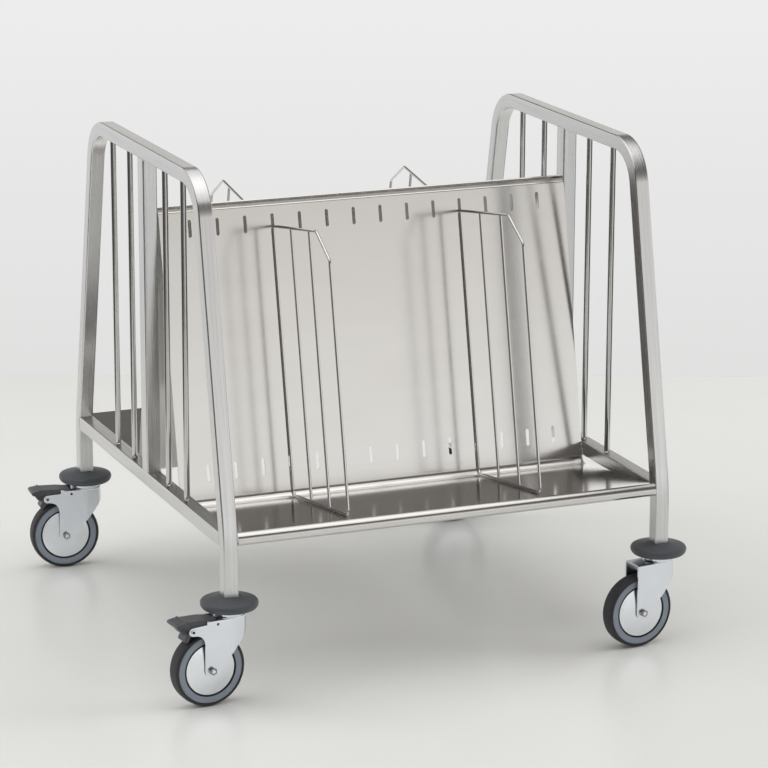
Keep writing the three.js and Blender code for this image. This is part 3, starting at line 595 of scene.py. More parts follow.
left_low, left_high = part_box("side_frame_left")
right_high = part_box("side_frame_right")[1]
rail_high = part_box("side_rail_left")[1]
middle = Vector(((left_low.x + right_high.x) / 2, (left_low.y + left_high.y) / 2, 0))
half_width = (right_high.x - left_low.x) / 2
half_depth = (left_high.y - left_low.y) / 2
foot_z = left_low.z
top_z = left_high.z
rail_z = rail_high.z
leg_y = half_depth - TUBE / 2
frame_x = half_width - TUBE / 2
SIDES = {"left": -1, "right": 1}
print("frame:", round(2 * half_width, 4), round(2 * half_depth, 4), round(top_z - foot_z, 4))


def at(x, y, z):
    """A point of the trolley, measured from its own middle."""
    return middle + Vector((x, y, z))


# %% [markdown]
# ## Side frames
# Each side frame is one square tube: up the front leg, over the top, and down the rear leg, with two
# gentle knees and two tight bends. It could be drawn as a curve with a bevel, but a curve's bevel is
# round or needs a second curve. The sweep above takes the corners of its middle line and their radii.

# %% Bend the side frames
def frame_corners(x):
    knee_z = foot_z + KNEE_RISE
    beam_z = top_z - TUBE / 2
    beam_y = leg_y - (beam_z - knee_z) * math.tan(LEAN)
    half = [(leg_y, foot_z), (leg_y, knee_z), (beam_y, beam_z)]
    front = [at(x, -y, z) for y, z in half]
    rear = [at(x, y, z) for y, z in reversed(half)]
    return front + rear


for side, sign in SIDES.items():
    run = (frame_corners(sign * frame_x), [KNEE_R, TOP_BEND_R, TOP_BEND_R, KNEE_R])
    lines = bare_lines("frame_lines", [run])
    mesh = grown(lines, SQUARE_SWEEP, width=TUBE, depth=TUBE, edge_radius=TUBE_EDGE_R,
                 bend_steps=TUBE_BEND_STEPS, edge_steps=TUBE_EDGE_STEPS, finish=TUBE_STEEL)
    piece = show(f"bent_frame_{side}", mesh, "frame", "stainless_tube", f"side_frame_{side}")
    print(piece.name, len(mesh.polygons), "faces")

# %% [markdown]
# ## Rails and posts
# A lower rail joins the legs of each side, and a post of slightly deeper tube stands in the middle. They
# are straight sweeps of the same tree. Where tube meets tube the weld was ground down, which leaves a
# narrow bead: a thin round section carried once around the joint.

# %% Weld in the rails and posts
POST_DEPTH = 30 * MM
BEAD_D = 2.2 * MM
BEAD_SINK = 0.5 * MM  # of the bead's middle inside the tube's faces
BEAD_BEND_STEPS = 5
BEAD_STEPS = 8


def bead_round(centre, normal_axis, width, depth):
    """The corners of a bead around a tube: a rectangle square to the given axis."""
    x, y = width / 2 - BEAD_SINK, depth / 2 - BEAD_SINK
    flat = [(-x, -y), (x, -y), (x, y), (-x, y)]
    if normal_axis == "Y":
        corners = [centre + Vector((a, 0, b)) for a, b in flat]
    else:
        corners = [centre + Vector((a, b, 0)) for a, b in flat]
    return corners, [TUBE_EDGE_R] * len(flat)


def joined(parts):
    """One mesh of several."""
    objects = [bpy.data.objects.new("part", mesh) for mesh in parts]
    for one in objects:
        collection.objects.link(one)
    with bpy.context.temp_override(active_object=objects[0], object=objects[0],
                                   selected_objects=objects, selected_editable_objects=objects):
        bpy.ops.object.join()
    mesh = objects[0].data
    bpy.data.objects.remove(objects[0])
    return mesh


def welded_tube(ends, axis, depth):
    """A straight tube between two points, with a bead around each end."""
    tube = grown(bare_lines("tube_line", [(ends, [])]), SQUARE_SWEEP, width=TUBE, depth=depth,
                 edge_radius=TUBE_EDGE_R, bend_steps=1, edge_steps=TUBE_EDGE_STEPS, finish=TUBE_STEEL)
    lines = bare_lines("beads", [bead_round(end, axis, TUBE, depth) for end in ends], closed=True)
    rings = grown(lines, ROUND_SWEEP, width=BEAD_D, bend_steps=BEAD_BEND_STEPS,
                  edge_steps=BEAD_STEPS, finish=TUBE_STEEL)
    return joined([tube, rings])


upright_low = rail_z
upright_high = top_z - TUBE
for side, sign in SIDES.items():
    x = sign * frame_x
    rail_ends = [at(x, end * (leg_y - TUBE / 2), rail_z - TUBE / 2) for end in (-1, 1)]
    post_ends = [at(x, 0, z) for z in (upright_low, upright_high)]
    for title, node, ends, axis, depth in (("lower_rail", "side_rail", rail_ends, "Y", TUBE),
                                           ("middle_post", "centre_post", post_ends, "Z", POST_DEPTH)):
        mesh = welded_tube(ends, axis, depth)
        piece = show(f"{title}_{side}", mesh, "frame", "stainless_tube", f"{node}_{side}")
        print(piece.name, [round(size, 4) for size in piece.dimensions])

# %% [markdown]
# ## Guard rods
# Four round rods on each side keep the plates in. Each is a turned shape: straight, with the small
# flare of a weld at both ends. Turning is easily written out: a half outline, copied around an axis.

# %% Turn the guard rods
def turned(name, outline, steps, finish_material, axis="Z"):
    """A mesh turned from (radius, place along the axis) points, in order, closed or from axis to axis."""
    points, faces, rings = [], [], []
    for radius, along in outline:
        around = [2 * math.pi * step / steps for step in range(steps)] if radius > 0 else [0]
        rings.append(range(len(points), len(points) + len(around)))
        for angle in around:
            a, b = radius * math.cos(angle), radius * math.sin(angle)
            points.append((a, b, along) if axis == "Z" else (b, along, a))
    for lower, upper in zip(rings, rings[1:]):
        for step in range(steps):
            corners = []
            for ring, place in ((lower, step), (lower, step + 1), (upper, step + 1), (upper, step)):
                corner = ring[place % len(ring)]
                if corner not in corners:
                    corners.append(corner)
            if len(corners) > 2:
                faces.append(corners)
    mesh = bpy.data.meshes.new(name)
    mesh.from_pydata(points, [], faces)
    mesh.materials.append(finish_material)
    note_grain(mesh, axis)
    return outward(mesh)


def note_grain(mesh, axis):
    """Gives a turned mesh the same attribute as a swept one, with its length along the axis."""
    grain = mesh.attributes.new("grain", "FLOAT_VECTOR", "POINT")
    for vertex, value in zip(mesh.vertices, grain.data):
        x, y, z = vertex.co
        value.vector = (x, y, z) if axis == "Z" else (z, x, y)


def outward(mesh):
    """Merges doubled points and turns every face outwards."""
    shell = bmesh.new()
    shell.from_mesh(mesh)
    bmesh.ops.remove_doubles(shell, verts=shell.verts, dist=MM / 1000)
    bmesh.ops.recalc_face_normals(shell, faces=shell.faces)
    shell.to_mesh(mesh)
    shell.free()
    return mesh


def arc(centre_r, centre_z, radius, start, end, steps):
    """Points of an arc of an outline, between two angles in degrees."""
    angles = [math.radians(start + (end - start) * step / steps) for step in range(steps + 1)]
    return [(centre_r + radius * math.cos(a), centre_z + radius * math.sin(a)) for a in angles]


ROD_D = 10 * MM
ROD_PITCH = 92 * MM
ROD_PLACES = (-2, -1, 1, 2)
FLARE = 1.3 * MM  # radius of the weld at a rod's ends
FLARE_STEPS = 4
ROD_STEPS = 28

rod_r = ROD_D / 2
lower_weld = arc(rod_r + FLARE, upright_low + FLARE, FLARE, 270, 180, FLARE_STEPS)
upper_weld = arc(rod_r + FLARE, upright_high - FLARE, FLARE, 180, 90, FLARE_STEPS)
rod_outline = [(0, upright_low), *lower_weld, *upper_weld, (0, upright_high)]
for side, sign in SIDES.items():
    for number, place in enumerate(ROD_PLACES, start=1):
        mesh = turned("rod", rod_outline, ROD_STEPS, ROD_STEEL)
        mesh.transform(Matrix.Translation(at(sign * frame_x, place * ROD_PITCH, 0)))
        show(f"round_rod_{side}_{number}", mesh, "frame", "stainless_tube", f"guard_rod_{side}_{number}")
print("rods:", len(SIDES) * len(ROD_PLACES))

# %% [markdown]
# ## Plate racks
# A rack is one sheet: a hem along the top, the leaning panel, a rounded fold, the tray that slopes up
# towards the open side, and a rolled front edge. Seen from the end it is a bent line, so it can be swept
# like the tubes, with a section as wide as the rack and as thick as the sheet.

# %% Fold the racks
SHEET = 1.5 * MM
TRAY_SLOPE = math.radians(8)
NOSE_R = 11 * MM
NOSE_WRAP = math.radians(225)
FOLD_R = 14 * MM
PANEL_RISE = 462 * MM
HEM_R = 4.25 * MM
HEM_TAIL = 8 * MM
HEM_SPACE = 12 * MM
SHEET_EDGE_R = 0.3 * MM
SHEET_BEND_STEPS = 5
SHEET_EDGE_STEPS = 2
NOSE_ARCS = 5
HEM_ARCS = 4


def side_view(y, z):
    """A point or direction in the plane of Y and Z."""
    return Vector((0, y, z))


def crossing(point_a, along_a, point_b, along_b):
    """Where two lines in the plane of Y and Z meet."""
    gap = point_b - point_a
    cross = along_a.y * along_b.z - along_a.z * along_b.y
    return point_a + along_a * ((gap.y * along_b.z - gap.z * along_b.y) / cross)


def arc_corners(centre, radius, start, end, count):
    """Corners that can be rounded to one arc, in the plane of Y and Z."""
    half = (end - start) / count / 2
    reach = radius / math.cos(half)
    angles = [start + half * (2 * index + 1) for index in range(count)]
    return [centre + side_view(math.cos(a), math.sin(a)) * reach for a in angles]


up = side_view(math.sin(LEAN), math.cos(LEAN))
out = side_view(-math.cos(TRAY_SLOPE), math.sin(TRAY_SLOPE))
panel_normal = side_view(-up.z, up.y)
tray_normal = side_view(out.z, -out.y)
panel_top = side_view(-HEM_SPACE / 2 - 2 * HEM_R, rail_z + PANEL_RISE - HEM_R)
nose_centre = side_view(-half_depth + NOSE_R, rail_z - NOSE_R)
tray_edge = nose_centre + tray_normal * NOSE_R
fold = crossing(panel_top, up, tray_edge, out)


def rack_line():
    """The middle line of the sheet, from the hem's tail to the end of the rolled edge."""
    hem_r, nose_r = HEM_R - SHEET / 2, NOSE_R - SHEET / 2
    hem_centre = panel_top - panel_normal * HEM_R
    tail = hem_centre - panel_normal * hem_r - up * HEM_TAIL
    hem_start = math.atan2(-panel_normal.z, -panel_normal.y)
    hem = arc_corners(hem_centre, hem_r, hem_start, hem_start - math.pi, HEM_ARCS)
    panel_middle = panel_top - panel_normal * SHEET / 2
    tray_middle = tray_edge - tray_normal * SHEET / 2
    fold_middle = crossing(panel_middle, up, tray_middle, out)
    nose_start = math.atan2(tray_normal.z, tray_normal.y)
    nose_end = nose_start + NOSE_WRAP
    nose = arc_corners(nose_centre, nose_r, nose_start, nose_end, NOSE_ARCS)
    end = nose_centre + side_view(math.cos(nose_end), math.sin(nose_end)) * nose_r
    corners = [tail, *hem, fold_middle, *nose, end]
    radii = [hem_r] * HEM_ARCS + [FOLD_R + SHEET / 2] + [nose_r] * NOSE_ARCS
    return corners, radii


print("fold at", [round(value, 4) for value in fold])

# %% [markdown]
# The rack's two rows of slots are the same hole made 28 times. Rather than place 28 holes, a second tree
# sets a cutter on a row of points and takes them all out of the sheet at once. Its inputs are the
# sizes that a sheet-metal shop would ask for: how many, how far apart, how long and how wide.

# %% Punch the slots
SLOT_COUNT = 14
SLOT_PITCH = 49.4 * MM
SLOT_LENGTH = 30 * MM
SLOT_WIDTH = 5.8 * MM
UPPER_ROW_DROP = 42 * MM
LOWER_ROW_RISE = 56 * MM
SLOT_END_STEPS = 9
SLOT_END_SHARE = 0.499  # of the width: at a half, the two roundings of an end would meet
CUTTER_DEPTH = 10 * MM
panel_length = (panel_top - fold).length + HEM_R
SLOT_RISES = (LOWER_ROW_RISE, panel_length - UPPER_ROW_DROP)


def punching_tree():
    takes = {"Sheet": "Geometry", "Count": "Int", "Pitch": "Float", "Length": "Float", "Width": "Float",
             "Depth": "Float", "First slot": "Vector", "Lean": "Vector", "Finish": "Material"}
    group, tree, given = new_group("punched_slots", takes, "Punched")

    step = tree.add("ShaderNodeCombineXYZ", {0: given["Pitch"]})
    row = {"Count": given["Count"], "Start Location": given["First slot"], "Offset": step}
    row = tree.add("GeometryNodeMeshLine", row, mode="OFFSET", count_mode="TOTAL")
    outline = {"Width": given["Width"], "Height": given["Length"]}
    outline = tree.add("GeometryNodeCurvePrimitiveQuadrilateral", outline, mode="RECTANGLE")
    ends = {"Curve": outline, "Count": SLOT_END_STEPS, "Radius": given["Width"] * SLOT_END_SHARE}
    outline = tree.add("GeometryNodeFilletCurve", ends, mode="POLY")
    flat = tree.add("GeometryNodeFillCurve", {"Curve": outline}, mode="NGONS")
    top = tree.add("ShaderNodeCombineXYZ", {2: given["Depth"]})
    thick = {"Mesh": flat, "Offset": top, "Offset Scale": 1.0}
    solid = tree.add("GeometryNodeExtrudeMesh", thick, mode="FACES")
    turned_over = tree.add("GeometryNodeFlipFaces", {"Mesh": flat})
    solid = tree.add("GeometryNodeJoinGeometry", {"Geometry": [solid, turned_over]})
    solid = tree.add("GeometryNodeMergeByDistance", {"Geometry": solid, "Distance": MM / 1000})
    lower = tree.add("ShaderNodeCombineXYZ", {2: given["Depth"] * -0.5})
    solid = tree.add("GeometryNodeSetPosition", {"Geometry": solid, "Offset": lower})
    lean = tree.add("FunctionNodeEulerToRotation", {0: given["Lean"]})
    placed = {"Points": row, "Instance": solid, "Rotation": lean}
    placed = tree.add("GeometryNodeInstanceOnPoints", placed)
    placed = tree.add("GeometryNodeRealizeInstances", {"Geometry": placed})
    punched = {"Mesh 1": given["Sheet"], "Mesh 2": placed}
    punched = tree.add("GeometryNodeMeshBoolean", punched, operation="DIFFERENCE", solver="EXACT")
    punched = tree.add("GeometryNodeRealizeInstances", {"Geometry": punched})
    punched = tree.add("GeometryNodeSetMaterial", {"Geometry": punched, "Material": given["Finish"]})
    tree.add("NodeGroupOutput", {0: punched})
    return group


PUNCHING = punching_tree()


def punched_rack():
    corners, radii = rack_line()
    lines = bare_lines("rack_line", [(corners, radii)])
    sheet = grown(lines, SQUARE_SWEEP, width=rack_width, depth=SHEET, edge_radius=SHEET_EDGE_R,
                  bend_steps=SHEET_BEND_STEPS, edge_steps=SHEET_EDGE_STEPS, finish=SHEET_STEEL)
    for rise in SLOT_RISES:
        blank = bpy.data.objects.new("blank", sheet)
        collection.objects.link(blank)
        first = fold + up * rise + Vector((-SLOT_PITCH * (SLOT_COUNT - 1) / 2, 0, 0))
        sheet = grown(blank, PUNCHING, count=SLOT_COUNT, pitch=SLOT_PITCH, length=SLOT_LENGTH,
                      width=SLOT_WIDTH, depth=CUTTER_DEPTH, first_slot=first,
                      lean=(math.pi / 2 - LEAN, 0, 0), finish=SHEET_STEEL)
    return sheet


rack_low, rack_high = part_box("plate_rack_front")
rack_width = rack_high.x - rack_low.x
RACKS = {"front": 0, "rear": math.pi}


def rack_place(angle):
    """The matrix that takes a drawn rack, or what hooks into it, to its end of the trolley."""
    return Matrix.Translation(middle) @ Matrix.Rotation(angle, 4, "Z")


for end, angle in RACKS.items():
    mesh = punched_rack()
    mesh.transform(rack_place(angle))
    rack = show(f"folded_rack_{end}", mesh, "frame", "stainless_sheet", f"plate_rack_{end}")
    print(rack.name, [round(size, 4) for size in rack.dimensions], len(mesh.polygons), "faces")

# %% [markdown]
# ## Wire dividers
# A divider is bent from one length of wire: a hook behind the panel, the sloping top wire, a bevel at
# the outer corner, down, back along the tray and up again. Two more wires stand inside it, and a second
# small hook holds its foot. All of them are runs of the same round sweep.

# %% Bend the dividers
WIRE_D = 4.8 * MM
WIRE_PITCH = 85 * MM
WIRE_GAPS = 3
DIVIDER_SLOTS = (3, 10)
TOP_WIRE_SLOPE = math.radians(9)
BEVEL_BACK = 52 * MM
BEVEL_DROP = 45 * MM
BEVEL_BEND_R = 14 * MM
FOOT_BEND_R = 10 * MM
HOOK_DROP = 7 * MM
HOOK_BEND_R = 4.5 * MM
HOOK_REACH = 9 * MM
HOOK_TAIL = 12 * MM
WIRE_BEND_STEPS = 8
WIRE_STEPS = 18


def divider_runs():
    lift = WIRE_D / 2 + FIT_GAP
    foot = crossing(fold + panel_normal * lift, up, fold + tray_normal * lift, out)
    low_hook, high_hook = [
        crossing(fold + up * (rise - HOOK_DROP), panel_normal, foot, up) for rise in SLOT_RISES
    ]
    top_wire = side_view(-math.cos(TOP_WIRE_SLOPE), math.sin(TOP_WIRE_SLOPE))
    foot_out = foot + out * WIRE_PITCH * WIRE_GAPS
    top_out = crossing(high_hook, top_wire, foot_out, up)
    tail_line = fold - panel_normal * HOOK_REACH
    top_behind = crossing(high_hook, top_wire, tail_line, up)
    low_behind = crossing(low_hook, panel_normal, tail_line, up)
    tail = up * HOOK_TAIL
    loop = [top_behind - tail, top_behind, top_out - top_wire * BEVEL_BACK,
            top_out - up * BEVEL_DROP, foot_out, foot, high_hook]
    radii = [HOOK_BEND_R, BEVEL_BEND_R, BEVEL_BEND_R, FOOT_BEND_R, FOLD_R - lift]
    runs = [(loop, radii), ([low_hook, low_behind, low_behind - tail], [HOOK_BEND_R])]
    for index in range(1, WIRE_GAPS):
        bottom = foot + out * WIRE_PITCH * index
        runs.append(([bottom, crossing(bottom, up, high_hook, top_wire)], []))
    return runs


for end, angle in RACKS.items():
    for index in DIVIDER_SLOTS:
        x = (index - (SLOT_COUNT - 1) / 2) * SLOT_PITCH
        side = "left" if x * math.cos(angle) < 0 else "right"
        lines = bare_lines("divider_lines", divider_runs())
        mesh = grown(lines, ROUND_SWEEP, width=WIRE_D, bend_steps=WIRE_BEND_STEPS,
                     edge_steps=WIRE_STEPS, finish=WIRE_STEEL)
        mesh.transform(rack_place(angle) @ Matrix.Translation((x, 0, 0)))
        name = f"divider_{end}_{side}"
        show(f"wire_{name}", mesh, name, "stainless_wire", name)
print("dividers:", len(RACKS) * len(DIVIDER_SLOTS))

# %% [markdown]
# ## Castors
# Each castor is drawn once, around its swivel axis and with its wheel trailing to the left, then copied
# to the four legs. The solids say where each swivel axis and axle are, and so which way each castor was
# turned when it was photographed.

# %% Where the castors stand
CASTORS = ("front_left", "front_right", "rear_left", "rear_right")
BRAKED = ("front_left", "rear_left")
UNBRAKED = ("front_right", "rear_right")


def castor_place(name):
    """The matrix that takes a drawn castor to its leg."""
    bumper = [(a + b) / 2 for a, b in zip(*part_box(f"bumper_{name}"))]
    axle = [(a + b) / 2 for a, b in zip(*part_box(f"axle_{name}"))]
    turn = math.atan2(bumper[1] - axle[1], bumper[0] - axle[0])
    return Matrix.Translation((bumper[0], bumper[1], 0)) @ Matrix.Rotation(turn, 4, "Z")


def fit_castors(title, node, mesh, body, slot, castors=CASTORS):
    """Copies one drawn piece to the castors. It rides on each castor's own body, or on the frame."""
    for name in castors:
        copy = mesh.copy()
        copy.transform(castor_place(name))
        show(f"{title}_{name}", copy, f"{body}_{name}" if body != "frame" else body, slot, f"{node}_{name}")
    print(title, len(mesh.polygons), "faces, fitted to", len(castors), "castors")


bumper_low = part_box("bumper_front_left")[0].z
print("underside of the bumpers:", round(bumper_low, 4))

# %% [markdown]
# ## Bumper discs
# A thick rubber disc turns on each stem and keeps the trolley from marking walls. Its outline is a soft
# curve, a little flatter below, so it is turned from points that a smooth curve is drawn through.

# %% Mould the bumpers
BUMPER_R = 47.5 * MM
BUMPER_HEIGHT = 19.7 * MM
STEM_HOLE_R = 7.3 * MM
GROOVE_RADII = (27 * MM, 28 * MM, 33 * MM, 34 * MM)  # of the round groove in the underside
GROOVE_DEPTHS = (0, 1 * MM, 1 * MM, 0)
BUMPER_STEPS = 72
# From the underside outwards and up: shares of the radius and of the height
BUMPER_SHARES = [(0.80, 0.0), (0.90, 0.05), (0.965, 0.18), (1.0, 0.40), (0.995, 0.56), (0.965, 0.68),
                 (0.92, 0.735), (0.78, 0.80), (0.58, 0.90), (0.40, 1.0)]


def smooth_line(points, steps):
    """Points of a smooth curve through the given ones."""
    line = []
    padded = [points[0], *points, points[-1]]
    for before, start, end, after in zip(padded, padded[1:], padded[2:], padded[3:]):
        for step in range(steps):
            t = step / steps
            line.append(tuple(
                (2 * b + (c - a) * t + (2 * a - 5 * b + 4 * c - d) * t ** 2
                 + (3 * b - a - 3 * c + d) * t ** 3) / 2
                for a, b, c, d in zip(before, start, end, after)
            ))
    return [*line, points[-1]]


rim_line = [(BUMPER_R * r, bumper_low + BUMPER_HEIGHT * z) for r, z in smooth_line(BUMPER_SHARES, 4)]
bumper_high = bumper_low + BUMPER_HEIGHT
groove = [(radius, bumper_low + depth) for radius, depth in zip(GROOVE_RADII, GROOVE_DEPTHS)]
bumper_outline = [(STEM_HOLE_R, bumper_low), *groove, *rim_line,
                  (STEM_HOLE_R, bumper_high), (STEM_HOLE_R, bumper_low)]
mesh = turned("bumper", bumper_outline, BUMPER_STEPS, BUMPER_RUBBER)
fit_castors("bumper_disc", "bumper", mesh, "frame", "bumper_rubber")

# %% [markdown]
# ## Stem and ball race
# Under the bumper a zinc-plated race cover turns on the kingpin. Only its edge shows, rolled over at
# the top, and below it the gap in which the balls run.

# %% Turn the stems
RUN_GAP = 0.5 * MM
FORK_TOP = 148 * MM
RACE_HEIGHT = 9 * MM
RACE_R = 26 * MM
RACE_EDGE_R = 2.2 * MM
KINGPIN_R = 6 * MM
KINGPIN_HEAD_R = 12 * MM
KINGPIN_HEAD_HEIGHT = 6 * MM
KINGPIN_CHAMFER = 1 * MM
FORK_HEAD_HEIGHT = 3 * MM
STEM_NECK_R = 7 * MM
PLUG_R = 10.4 * MM
PLUG_LENGTH = 45 * MM
STEM_STEPS = 48

race_low = FORK_TOP + RUN_GAP
race_high = race_low + RACE_HEIGHT
head_high = FORK_TOP - FORK_HEAD_HEIGHT - RUN_GAP
head_low = head_high - KINGPIN_HEAD_HEIGHT
race_edge = arc(RACE_R - RACE_EDGE_R, race_high - RACE_EDGE_R, RACE_EDGE_R, 0, 90, 5)
stem_outline = [
    (0, head_low), (KINGPIN_HEAD_R - KINGPIN_CHAMFER, head_low),
    (KINGPIN_HEAD_R, head_low + KINGPIN_CHAMFER), (KINGPIN_HEAD_R, head_high), (KINGPIN_R, head_high),
    (KINGPIN_R, race_low), (RACE_R - 2 * KINGPIN_CHAMFER, race_low),
    (RACE_R - KINGPIN_CHAMFER, race_low + KINGPIN_CHAMFER), (RACE_R, race_low + 2 * KINGPIN_CHAMFER),
    *race_edge, (STEM_NECK_R, race_high), (STEM_NECK_R, foot_z), (PLUG_R, foot_z),
    (PLUG_R, foot_z + PLUG_LENGTH), (0, foot_z + PLUG_LENGTH),
]
mesh = turned("stem", stem_outline, STEM_STEPS, ZINC)
fit_castors("race_and_kingpin", "stem", mesh, "frame", "zinc_plate")

# %% [markdown]
# ## Forks
# A fork is pressed from thick sheet: flat cheeks, a round front and a flat head, with rounded edges
# where they meet. A press shapes it all at once, and so does this cell: the outer form and the space
# inside are lofted from the same plan, drawn in towards the top, and what the side view and the holes
# leave over is cut away.

# %% Press the forks
WHEEL_R = 62.5 * MM
TRAIL = 41 * MM
FORK_WALL = 2.5 * MM
FORK_HALF_WIDTH = 19.5 * MM
FORK_FRONT = 28.5 * MM
FORK_NOSE_R = 16 * MM
FORK_NOSE_ANGLE = 72  # degrees to each side that the round nose reaches
CREASE_R = 1 * MM
CREASE_SHARES = [(-1, 0), (0, 0.05), (1, 0.25)]  # ahead and inwards, of the crease's radius
FORK_FRONT_HEIGHT = 23 * MM
FORK_TIP_R = 12 * MM
FORK_HEAD_BACK = 27 * MM
FORK_SHOULDER_R = 3.6 * MM
FORK_CURVE_SHARES = (0.1, 0.32)
AXLE_HOLE_R = 4.3 * MM
OVERRUN = 5 * MM
LUG_R = 7 * MM
LUG_ROOT_RISE = 43 * MM
LUG_TOP_SLOPE = math.radians(3)
STEP_AHEAD = 25 * MM
PIN_BACK = 33.5 * MM
PIN_RISE = 70.7 * MM
PIN_R = 2.5 * MM
STOP_HOLE = (44.5 * MM, 6.7 * MM)  # ahead of and above the pin
STOP_HOLE_R = 2.25 * MM
HOLE_STEPS = 24
PRESS_EDGE = 0.5 * MM

axle_x, axle_z = -TRAIL, WHEEL_R
pin_x, pin_z = axle_x - PIN_BACK, axle_z + PIN_RISE


def loft(name, rings, finish_material):
    """A closed mesh through rings of as many points each."""
    points = [point for ring in rings for point in ring]
    count = len(rings[0])
    faces = [tuple(reversed(range(count)))]
    for low in range(0, len(points) - count, count):
        high = low + count
        faces += [(low + i, low + (i + 1) % count, high + (i + 1) % count, high + i) for i in range(count)]
    faces.append(tuple(range(len(points) - count, len(points))))
    mesh = bpy.data.meshes.new(name)
    mesh.from_pydata(points, [], faces)
    mesh.materials.append(finish_material)
    solid = bpy.data.objects.new(name, outward(mesh))
    collection.objects.link(solid)
    return solid


def prism(name, outline, half, finish_material, axis="Y"):
    """A straight solid: along Y as wide as twice the half, or along Z between two heights."""
    if axis == "Y":
        rings = [[(x, y, z) for x, z in outline] for y in (-half, half)]
    else:
        rings = [[(x, y, z) for x, y in outline] for z in half]
    return loft(name, rings, finish_material)


def carved(solid, steps, edge=PRESS_EDGE, edge_steps=2):
    """Cuts, adds or keeps the common part, one solid after another, then rounds the edges."""
    for operation, tool in steps:
        modifier = solid.modifiers.new(operation, "BOOLEAN")
        modifier.operation = operation
        modifier.solver = "EXACT"
        modifier.object = tool
    bevel = solid.modifiers.new("rounded edges", "BEVEL")
    bevel.width = edge
    bevel.segments = edge_steps
    bevel.limit_method = "ANGLE"
    bevel.angle_limit = SHARP_ANGLE
    mesh = evaluated(solid)
    for _, tool in steps:
        bpy.data.objects.remove(tool)
    return mesh


def fork_plan(inset, back):
    """The plan: flat cheeks, a crease, a flat drawn inwards, and a round nose."""
    half = FORK_HALF_WIDTH - inset
    nose = arc(FORK_FRONT - FORK_NOSE_R, 0, FORK_NOSE_R - inset, -FORK_NOSE_ANGLE, FORK_NOSE_ANGLE, 16)
    crease = [(CREASE_R * x, half - CREASE_R * y) for x, y in CREASE_SHARES]
    near = [(x, -y) for x, y in crease]
    return [(back, -half), *near, *nose, *reversed(crease), (back, half)]


def fork_form(inset, top, shoulder, back):
    """The fork's outer form, or the space inside it: a plan that draws in towards the top."""
    levels = [(0, 0)] + [
        (shoulder * (1 - math.cos(a)), top - shoulder + shoulder * math.sin(a))
        for a in [math.radians(15 * step) for step in range(7)]
    ]
    return [[(x, y, z) for x, y in fork_plan(inset + drawn_in, back)] for drawn_in, z in levels]


def bowed(start, control, end, steps):
    """Points of a bowed line, without its first."""
    points = []
    for step in range(1, steps + 1):
        t = step / steps
        points.append(tuple(
            a * (1 - t) ** 2 + 2 * b * t * (1 - t) + c * t ** 2 for a, b, c in zip(start, control, end)
        ))
    return points


def fork_side(braked):
    """The fork's side view."""
    back = axle_x - FORK_TIP_R
    above = FORK_TOP + OVERRUN
    if braked:
        step_z = pin_z + LUG_R + STEP_AHEAD * math.tan(LUG_TOP_SLOPE)
        outline = [(FORK_FRONT + OVERRUN, above), (pin_x + STEP_AHEAD, above), (pin_x + STEP_AHEAD, step_z)]
        outline += arc(pin_x, pin_z, LUG_R, 90, 270, 12)
        root = (back, axle_z + LUG_ROOT_RISE)
        outline += bowed(outline[-1], (back, pin_z - LUG_R), root, 8)
    else:
        outline = [(FORK_FRONT + OVERRUN, above), (back, above)]
    outline += arc(axle_x, axle_z, FORK_TIP_R, 180, 360, 14)
    share_x, share_z = FORK_CURVE_SHARES
    control = (FORK_FRONT * share_x, axle_z + (FORK_TOP - axle_z) * share_z)
    nose = (FORK_FRONT, FORK_TOP - FORK_FRONT_HEIGHT)
    outline += bowed(outline[-1], control, nose, 12)
    return [*outline, (FORK_FRONT + OVERRUN, nose[1])]


def full_round(x, z, radius):
    """An outline all the way around a point."""
    return arc(x, z, radius, 0, 360 - 360 / HOLE_STEPS, HOLE_STEPS - 1)


def bore(x, z, radius):
    """A cutter right through both cheeks."""
    return prism("bore", full_round(x, z, radius), FORK_HALF_WIDTH + OVERRUN, ZINC)


def pressed_fork(braked):
    back = pin_x - LUG_R - OVERRUN
    outer = loft("fork", fork_form(0, FORK_TOP, FORK_SHOULDER_R, back), ZINC)
    inner_r = FORK_SHOULDER_R - FORK_WALL
    inside = [[(x, y, z - OVERRUN if z == 0 else z) for x, y, z in ring]
              for ring in fork_form(FORK_WALL, FORK_TOP - FORK_HEAD_HEIGHT, inner_r, back - OVERRUN)]
    kingpin_hole = full_round(0, 0, KINGPIN_R + RUN_GAP)
    through_head = (FORK_TOP - 2 * OVERRUN, FORK_TOP + OVERRUN)
    steps = [
        ("DIFFERENCE", loft("inside", inside, ZINC)),
        ("INTERSECT", prism("side", fork_side(braked), FORK_HALF_WIDTH + OVERRUN, ZINC)),
        ("DIFFERENCE", bore(axle_x, axle_z, AXLE_HOLE_R)),
        ("DIFFERENCE", prism("kingpin hole", kingpin_hole, through_head, ZINC, "Z")),
    ]
    if braked:
        y = FORK_HALF_WIDTH - FORK_WALL
        open_back = [(back - OVERRUN, -y), (-FORK_HEAD_BACK, -y), (-FORK_HEAD_BACK, y), (back - OVERRUN, y)]
        steps += [
            ("DIFFERENCE", prism("open back", open_back, through_head, ZINC, "Z")),
            ("DIFFERENCE", bore(pin_x, pin_z, PIN_R + FIT_GAP)),
            ("DIFFERENCE", bore(pin_x + STOP_HOLE[0], pin_z + STOP_HOLE[1], STOP_HOLE_R)),
        ]
    return carved(outer, steps)


fit_castors("pressed_fork", "fork", pressed_fork(True), "swivel", "zinc_plate", BRAKED)
fit_castors("pressed_fork", "fork", pressed_fork(False), "swivel", "zinc_plate", UNBRAKED)

# %% [markdown]
# ## Axle bolts
# A bolt with a hexagon head at one end and a nut at the other carries each wheel. A hexagon is a turned
# shape with six steps; the washer and the bolt's rounded end make it read as a fastener.

